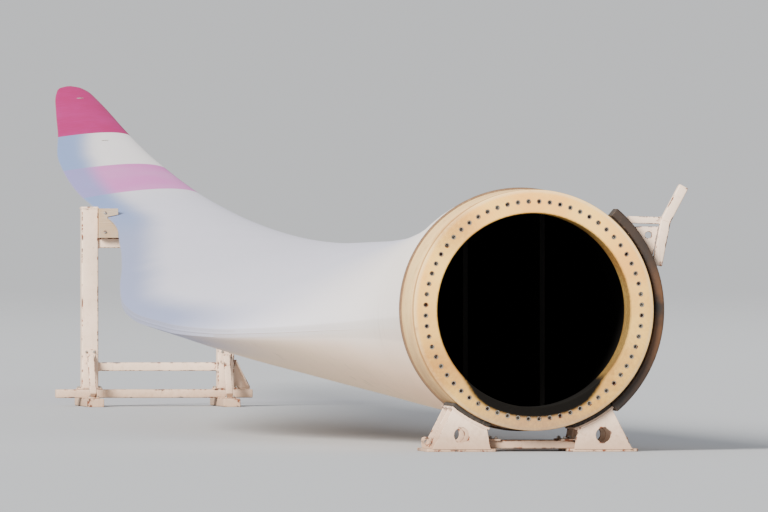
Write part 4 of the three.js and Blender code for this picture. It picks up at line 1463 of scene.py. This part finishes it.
    def handling_arm(self) -> None:
        """The bent arm, its brace and its gusset, welded where they meet.

        The arm's foot and the brace's stand on the side arc at their angles above level. Each
        half of the arm has a slope and a length, the same as in the frame.
        """
        outer = ROOT_RADIUS + GAP + self.side_arc_thickness
        feet = np.radians([90 + self.arm_foot, 90 + self.brace_foot])
        foot, brace_foot = arc_point(outer, feet, self.arm_y)
        slope, length = np.array([self.arm_lower, self.arm_upper]).T
        lower, upper = (np.array([math.cos(turn), 0, math.sin(turn)]) for turn in np.radians(slope))
        bend = foot + lower * length[0]
        top = bend + upper * length[1]
        arm = Surface()
        bevel, fade, turn = 0.006, 0.05, 0.02
        start, end = foot + lower * self.arm_foot_gap, top - upper * self.arm_cap
        rows = [start + lower * step for step in (0, bevel, bevel + fade)]
        rows += [bend - lower * turn, bend, bend + upper * turn]
        rows += [end - upper * step for step in (bevel + fade, bevel, 0)]
        headings = np.array([lower] * 4 + [unit(lower + upper)] + [upper] * 4)
        across = np.cross(LENGTHWAYS, headings)
        arm.tube((self.arm, self.arm, self.arm_corner), np.array(rows), across, LENGTHWAYS, bevel=bevel)
        side = self.arm - 2 * self.sunk
        cap = rounded_rectangle(side, side, self.arm_corner)
        axes = (across[-1], np.cross(upper, across[-1]))
        arm.plate([cap], end - upper * self.sunk, axes, self.arm_cap, margin=0.012)
        arm.collar(bend, offset_loop(cap, -self.sunk), (across[4], LENGTHWAYS), self.thin_weld)
        arm.piece("arm_tube", StandPaint(), "handling_arm")

        brace = Surface()
        along = unit(bend - brace_foot)
        section = (self.brace, self.brace, self.brace_corner)
        brace.bar(brace_foot + along * self.sunk, bend - along * self.brace_gap, section)
        weld_at = bend - along * (self.brace_gap + 0.004)
        brace.collar(weld_at, rounded_rectangle(*section), crossways(along), self.thin_weld)
        brace.piece("brace_tube", StandPaint(), "arm_brace")

        gusset = Surface()
        outer = ROOT_RADIUS + GAP * 2 + self.side_arc_thickness
        angle = np.radians(90 + np.linspace(self.brace_foot - 4, self.arm_foot + 5, 10))
        arc = arc_point(outer, angle, 0.0)[:, [0, 2]]
        corner = (bend - self.arm_gusset_gap * (lower + (1, 0, 0)))[[0, 2]]
        corners = np.array([arc[0], arc[-1], corner])
        opposite = np.linalg.norm(np.roll(corners, 1, 0) - np.roll(corners, -1, 0), axis=1)
        centre = (corners * opposite[:, None]).sum(0) / opposite.sum()
        outlines = [anticlockwise(np.vstack([arc, [corner]])), circle(self.arm_gusset_hole, 18, centre, True)]
        place = (0, self.arm_y + self.arm_gusset / 2, 0)
        gusset.plate(outlines, place, UPRIGHT, self.arm_gusset, margin=0.012)
        gusset.piece("gusset_plate", StandPaint(), "arm_gusset")

    def build(self) -> None:
        """Builds the stand's pieces."""
        for sign in (1, -1):
            self.saddle(sign)
        self.ties()
        self.side_arc()
        self.handling_arm()


@dataclass
class TipStand:
    """The tall stand under the outer blade: skids, base beam, posts, braces, bars, cradle and guard."""

    blade: RotorBlade
    y: float = 35.7
    left: float = -1.22
    right: float = 0.4
    post: float = 0.2
    post_corner: float = 0.02
    left_top: float = 2.37
    cap: float = 0.016
    flange: float = 0.018
    flange_width: float = 0.3
    flange_bolts: Range = (0.125, 0.06)
    base_ends: Range = (-1.62, 0.72)
    base_height: float = 0.1
    skid_height: float = 0.1
    skid_length: float = 1.7
    skid_corner: float = 0.014
    low_bar_top: float = 0.52
    low_bar: float = 0.1
    beam_top: float = 2.0
    beam: float = 0.12
    knee: float = 0.08
    knee_run: float = 0.5
    knee_rise: float = 0.62
    tab: float = 0.014
    tab_width: float = 0.13
    tab_reach: float = 0.02
    tab_bolt_x: float = 0.045
    tab_bolt_on: float = 0.055
    outer_run: float = 0.2
    outer_rise: float = 0.42
    rib: Triple = (0.02, 0.09, 0.006)
    cradle_ends: Range = (-0.74, 0.38)
    cradle_length: float = 0.5
    lining: float = 0.03
    boards: int = 5
    cradle_bolts: Range = (-0.6, 0.32)
    guard_boards: int = 4
    guard_slack: float = 0.004
    bolt: float = 0.016
    thin_bolt: float = 0.014
    weld: float = 0.008
    thin_weld: float = 0.007

    def skids_and_base(self) -> None:
        """Two skids along the blade with their welds, and the base beam that lies across them."""
        for name, x in (("left", self.left), ("right", self.right)):
            surface = Surface()
            half, side = self.skid_length / 2, self.post / 2
            section = (self.post, self.skid_height, self.skid_corner)
            front, rear = ((x, self.y + dy, self.skid_height / 2) for dy in (-half, half))
            surface.bar(front, rear, section)
            for dy in (-0.105, 0.105):
                surface.bead([(x + dx, self.y + dy, self.skid_height) for dx in (-side, side)], self.weld)
            surface.piece(f"skid_{name}_tube", StandPaint(), f"skid_{name}")
        surface = Surface()
        z = self.skid_height + GAP + self.base_height / 2
        section = (self.base_height, self.post, self.skid_corner)
        surface.bar(*((x, self.y, z) for x in self.base_ends), section)
        surface.piece("base_tube", StandPaint(), "base_beam")

    def posts(self) -> None:
        """The two posts with their foot flanges, caps and welds, and the braces to the skids."""
        bolts = Surface()
        foot = self.skid_height + self.base_height + 2 * GAP
        section = (self.post, self.post, self.post_corner)
        flange = rounded_rectangle(self.flange_width, self.post - 0.004, 0.015)
        around = rounded_rectangle(self.post + 0.006, self.post + 0.006, self.post_corner)
        right_top = self.beam_top - self.beam - GAP
        for name, x, top in (("left", self.left, self.left_top), ("right", self.right, right_top)):
            surface = Surface()
            low, high = (x, self.y, foot), (x, self.y, top - self.cap)
            surface.bar(low, high, section)
            surface.plate([flange], low, LEVEL, self.flange)
            surface.plate([rounded_rectangle(*section)], high, LEVEL, self.cap)
            for z in (foot + 0.02, top - 0.019):
                surface.collar((x, self.y, z), around, LEVEL, self.thin_weld)
            surface.piece(f"post_{name}_tube", StandPaint(), f"post_{name}")
            reach_x, reach_y = self.flange_bolts
            for dx in (-reach_x, reach_x):
                for dy in (-reach_y, reach_y):
                    bolts.bolt((x + dx, self.y + dy, foot + self.flange), UP, self.bolt)
            for place, sign in (("front", -1), ("rear", 1)):
                self.knee_tube(name, place, x, sign, bolts)
        self.outer_knee(foot + GAP)
        bolts.piece("tip_stand_bolts", Steel())

    def knee_tube(self, name: str, place: str, x: float, sign: int, bolts: Surface) -> None:
        """A brace from a skid up to a post, with an end plate on each.

        Args:
            name: The post's side.
            place: The brace's place, front or rear.
            x: The post's x.
            sign: -1 towards the root and 1 towards the tip.
            bolts: Where its bolts are added.
        """
        surface = Surface()
        half, inset = self.post / 2, self.tab_reach
        low = np.array([x, self.y + sign * (half + self.knee_run), self.skid_height - self.knee / 2])
        high = np.array([x, self.y + sign * (half - self.knee), self.skid_height + self.knee_rise])
        along = unit(high - low)
        start = low + along * ((self.skid_height + inset - low[2]) / along[2] + inset)
        end = high - along * ((self.knee + inset) / abs(along[1]) + inset)
        surface.bar(start, end, (self.knee, self.knee, 0.012))
        flat, upright = (rounded_rectangle(self.tab_width, depth, 0.015) for depth in (0.19, 0.17))
        surface.plate([flat], (x, start[1] - sign * 0.01, self.skid_height + GAP), LEVEL, self.tab)
        back = self.y + sign * (half + GAP + (self.tab if sign > 0 else 0))
        surface.plate([upright], (x, back, end[2]), UPRIGHT, self.tab)
        face = self.tab + GAP
        for dx in (-self.tab_bolt_x, self.tab_bolt_x):
            on_post = (x + dx, self.y + sign * (half + face), end[2] + self.tab_bolt_on)
            bolts.bolt(on_post, (0, sign, 0), self.thin_bolt)
            on_skid = (x + dx, start[1] + sign * self.tab_bolt_on, self.skid_height + face)
            bolts.bolt(on_skid, UP, self.thin_bolt)
        surface.piece(f"knee_{name}_{place}_tube", StandPaint(), f"knee_{name}_{place}")

    def outer_knee(self, foot: float) -> None:
        """The short brace on the right post's outer side, as a tapered plate with a rib, from a height."""
        base = np.array([self.right + self.post / 2 + GAP, self.y, foot])
        surface = Surface()
        reach, rise, thick = self.outer_run * 0.98, self.outer_rise * 0.83, 0.024
        outline = rounded([(0, 0), (reach, 0), (reach, 0.03), (0.03, rise), (0, rise)], 0.012)
        surface.plate([outline], base + (0, thick / 2, 0), UPRIGHT, thick)
        surface.bar(base + (reach - 0.022, 0, 0.03), base + (0.02, 0, rise), self.rib, bevel=0.004)
        surface.piece("outer_knee_plate", StandPaint(), "knee_right_outer")

    def bars(self) -> None:
        """The low bar and the saddle beam between the posts."""
        half = self.post / 2
        inner = self.left + half + GAP
        end = self.right - half - GAP
        low = Surface()
        z = self.low_bar_top - self.low_bar / 2
        section = (self.low_bar, self.low_bar, 0.012)
        low.bar((inner, self.y, z), (end, self.y, z), section)
        for x in (inner + 0.005, end - 0.005):
            low.collar((x, self.y, z), rounded_rectangle(*section), ALONGSIDE, self.thin_weld)
        low.piece("low_bar_tube", StandPaint(), "low_bar")
        beam = Surface()
        z = self.beam_top - self.beam / 2
        section = (self.beam, self.beam, 0.016)
        beam.bar((inner, self.y, z), (self.right + half, self.y, z), section)
        beam.collar((inner + 0.006, self.y, z), rounded_rectangle(*section), ALONGSIDE, self.weld)
        beam.piece("saddle_beam_tube", StandPaint(), "saddle_beam")

    def lower_line(self, y: float, grown: float, count: int = 28) -> Array:
        """The blade's underside over the cradle.

        Args:
            y: Where the blade is cut.
            grown: How far below the underside the line runs.
            count: How many points it has.

        Returns:
            Points x and z: the section's lower half, each point moved down its normal.
        """
        line = self.blade.section_line(y, np.linspace(0.0, 1.0, 240), Side.BOTTOM)
        along = unit(np.gradient(line, axis=0))
        line = line + grown * np.stack([-along[:, 1], along[:, 0]], -1)
        x = np.linspace(*self.cradle_ends, count)
        order = np.argsort(line[:, 0])
        return np.stack([x, np.interp(x, line[order, 0], line[order, 1])], -1)

    def board(self, surface: Surface, outline: Array, near: float, length: float) -> None:
        """Adds an upright board, sawn to an outline, over a length of the blade.

        Args:
            surface: Where it is added.
            outline: Its x and z.
            near: The y where its length begins.
            length: The length that it takes up, with its gaps.
        """
        place = (0, near + length - GAP, 0)
        surface.plate([anticlockwise(outline)], place, UPRIGHT, length - 2 * GAP, bevel=0.003, margin=0.012)

    def bolted_through(self, name: str, places: Sequence[Range], front: float, rear: float) -> None:
        """Makes a piece of bolts through boards, with a nut at both ends.

        Args:
            name: The piece's name.
            places: The x and z of each bolt.
            front: The y of the boards' front.
            rear: The y of their rear.
        """
        bolts = Surface()
        for x, z in places:
            bolts.bolt((x, front, z), (0, -1, 0), self.bolt)
            bolts.bolt((x, rear, z), LENGTHWAYS, self.bolt)
        bolts.piece(name, Steel())

    def cradle(self) -> None:
        """The cradle: boards cut to the blade's underside, bolted through, with a rubber lining."""
        bottom = self.beam_top + GAP
        front = self.y - self.cradle_length / 2
        low_edge = [(x, bottom) for x in self.cradle_ends[::-1]]
        board = self.cradle_length / self.boards
        surface = Surface()
        for number in range(self.boards):
            near = front + number * board
            outline = np.vstack([self.lower_line(near, self.lining + 2 * GAP), low_edge])
            self.board(surface, outline, near, board)
        surface.piece("cradle_boards", Timber(), "cradle_block")
        places = [(x, bottom + 0.045) for x in self.cradle_bolts]
        self.bolted_through("cradle_bolts", places, front, front + self.cradle_length)
        origins = np.insert(self.lower_line(self.y, self.lining / 2 + GAP, 40), 1, self.y, axis=1)
        rise = self.blade.axis_height(self.y + 0.1) - self.blade.axis_height(self.y - 0.1)
        lengthways = unit((0.0, 0.2, rise))
        along = unit(np.gradient(origins, axis=0))
        lining = Surface()
        section = (self.lining - 2 * GAP, self.cradle_length, 0.008)
        lining.tube(section, origins, np.cross(along, lengthways), lengthways)
        lining.piece("cradle_lining_strip", Rubber(), "cradle_lining")

    def edge_guard(self) -> None:
        """The guard at the trailing edge: upright boards, each notched for the edge, bolted through.

        A notch follows the blade's lower line at the board's near end and its upper line at the
        far end, so that the rising blade clears the board from end to end. The boards fill the
        guard's box in the frame.
        """
        low, high = ((np.array(corner) - ROOT_ORIGIN) / MODEL_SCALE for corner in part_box("edge_guard"))
        board = (high[1] - low[1]) / self.guard_boards
        surface = Surface()
        for number in range(self.guard_boards):
            near = low[1] + number * board
            lines = []
            for y, side in ((near, Side.BOTTOM), (near + board, Side.TOP)):
                line = self.blade.section_line(y, np.linspace(0.8, 1.0, 24), side)
                x = np.linspace(high[0], line[-1, 0], 6)
                z = np.interp(-x, -line[:, 0], line[:, 1] + side.value * 2 * GAP)
                lines.append(np.stack([x, z], -1))
            lower, upper = lines
            lower[-1, 0] = upper[-1, 0] = min(lower[-1, 0], upper[-1, 0]) - self.guard_slack
            corners = [(high[0], high[2]), (low[0], high[2]), (low[0], low[2]), (high[0], low[2])]
            self.board(surface, np.vstack([lower, upper[::-1], corners]), near, board)
        surface.piece("edge_guard_boards", Timber(), "edge_guard")
        places = [(low[0] + 0.07, z) for z in (low[2] + 0.07, high[2] - 0.05)]
        self.bolted_through("edge_guard_bolts", places, low[1] + GAP, high[1] - GAP)

    def build(self) -> None:
        """Builds the stand's pieces."""
        for make in (self.skids_and_base, self.posts, self.bars, self.cradle, self.edge_guard):
            make()


@dataclass(frozen=True)
class StudioFloor(Finish):
    """Plain pale floor that fades into the background far from the object."""

    name = "studio_floor"
    pale: Colour = paint("aeb2b8")
    speck: Colour = paint("a5a9af")
    fade: Range = (260.0, 90.0)

    def dress(self, graph: Graph) -> bpy.types.Material:
        """A plain colour, see-through past a distance from the middle."""
        speck = graph.noise(3.0, 4.0)
        colour = graph.blend(speck * 0.06, self.pale, self.speck)
        alpha = graph.length(graph.place).rise(*self.fade)
        return graph.finish(colour, 0.85, graph.bump(speck, 0.0001), Alpha=alpha)


@dataclass
class Studio:
    """The floor, the soft light and the camera, which are no part of the object."""

    floor_radius: float = 160.0
    background: Colour = (0.71, 0.72, 0.735)
    sun_colour: Colour = (1.0, 0.95, 0.87)
    sun_strength: float = 9.2
    sun_spread: float = 22.0
    sun_azimuth: float = -38.0
    sun_elevation: float = 25.0
    eye: Triple = (-20.79, -181.3, 2.8)
    aim: Triple = (-1.5, 0.0, 1.95)
    lens: float = 860.0

    def floor(self) -> None:
        """A flat round floor, turned from radii that grow by one factor."""
        surface = Surface()
        radius = np.geomspace(1.0, self.floor_radius / MODEL_SCALE, 24)
        middle = np.tile([0.0, BLADE_LENGTH / 2, 0.0], (len(radius), 1))
        surface.grid(swept(middle, radius[:, None, None] * circle(1.0, 96), *LEVEL), caps=(True, False))
        mesh = surface.mesh("studio_floor")
        mesh.materials.append(StudioFloor().made())
        shown("studio_floor", mesh)

    def light(self) -> None:
        """A broad soft key from the front left and an even pale background."""
        world = bpy.data.worlds.new("studio")
        world.use_nodes = True
        world.node_tree.nodes["Background"].inputs["Color"].default_value = (*self.background, 1)
        bpy.context.scene.world = world
        sun = bpy.data.lights.new("key", "SUN")
        sun.energy = self.sun_strength
        sun.color = self.sun_colour
        sun.angle = math.radians(self.sun_spread)
        azimuth, elevation = math.radians(self.sun_azimuth), math.radians(self.sun_elevation)
        level = math.cos(elevation)
        back = Vector((math.sin(azimuth) * level, -math.cos(azimuth) * level, math.sin(elevation)))
        shown("key", sun).rotation_euler = back.to_track_quat("Z", "Y").to_euler()

    def camera(self) -> None:
        """A long lens from where the photograph was taken, aimed at the blade."""
        data = bpy.data.cameras.new("camera")
        data.lens = self.lens
        data.clip_start = 1.0
        data.clip_end = 2000.0
        made = shown("camera", data)
        eye, target = to_row(self.eye), to_row(self.aim)
        made.location = Vector(eye)
        made.rotation_euler = Vector(target - eye).to_track_quat("-Z", "Y").to_euler()
        bpy.context.scene.camera = made

    def build(self) -> None:
        """Sets up the studio."""
        self.camera()
        self.floor()
        self.light()


def main() -> None:
    logging.basicConfig(level=logging.INFO, format="%(name)s: %(message)s")
    Studio().build()
    blade = RotorBlade()
    for assembly in (blade, RootStand(), TipStand(blade)):
        log.info("building %s", type(assembly).__name__)
        assembly.build()


if __name__ == "__main__":
    main()
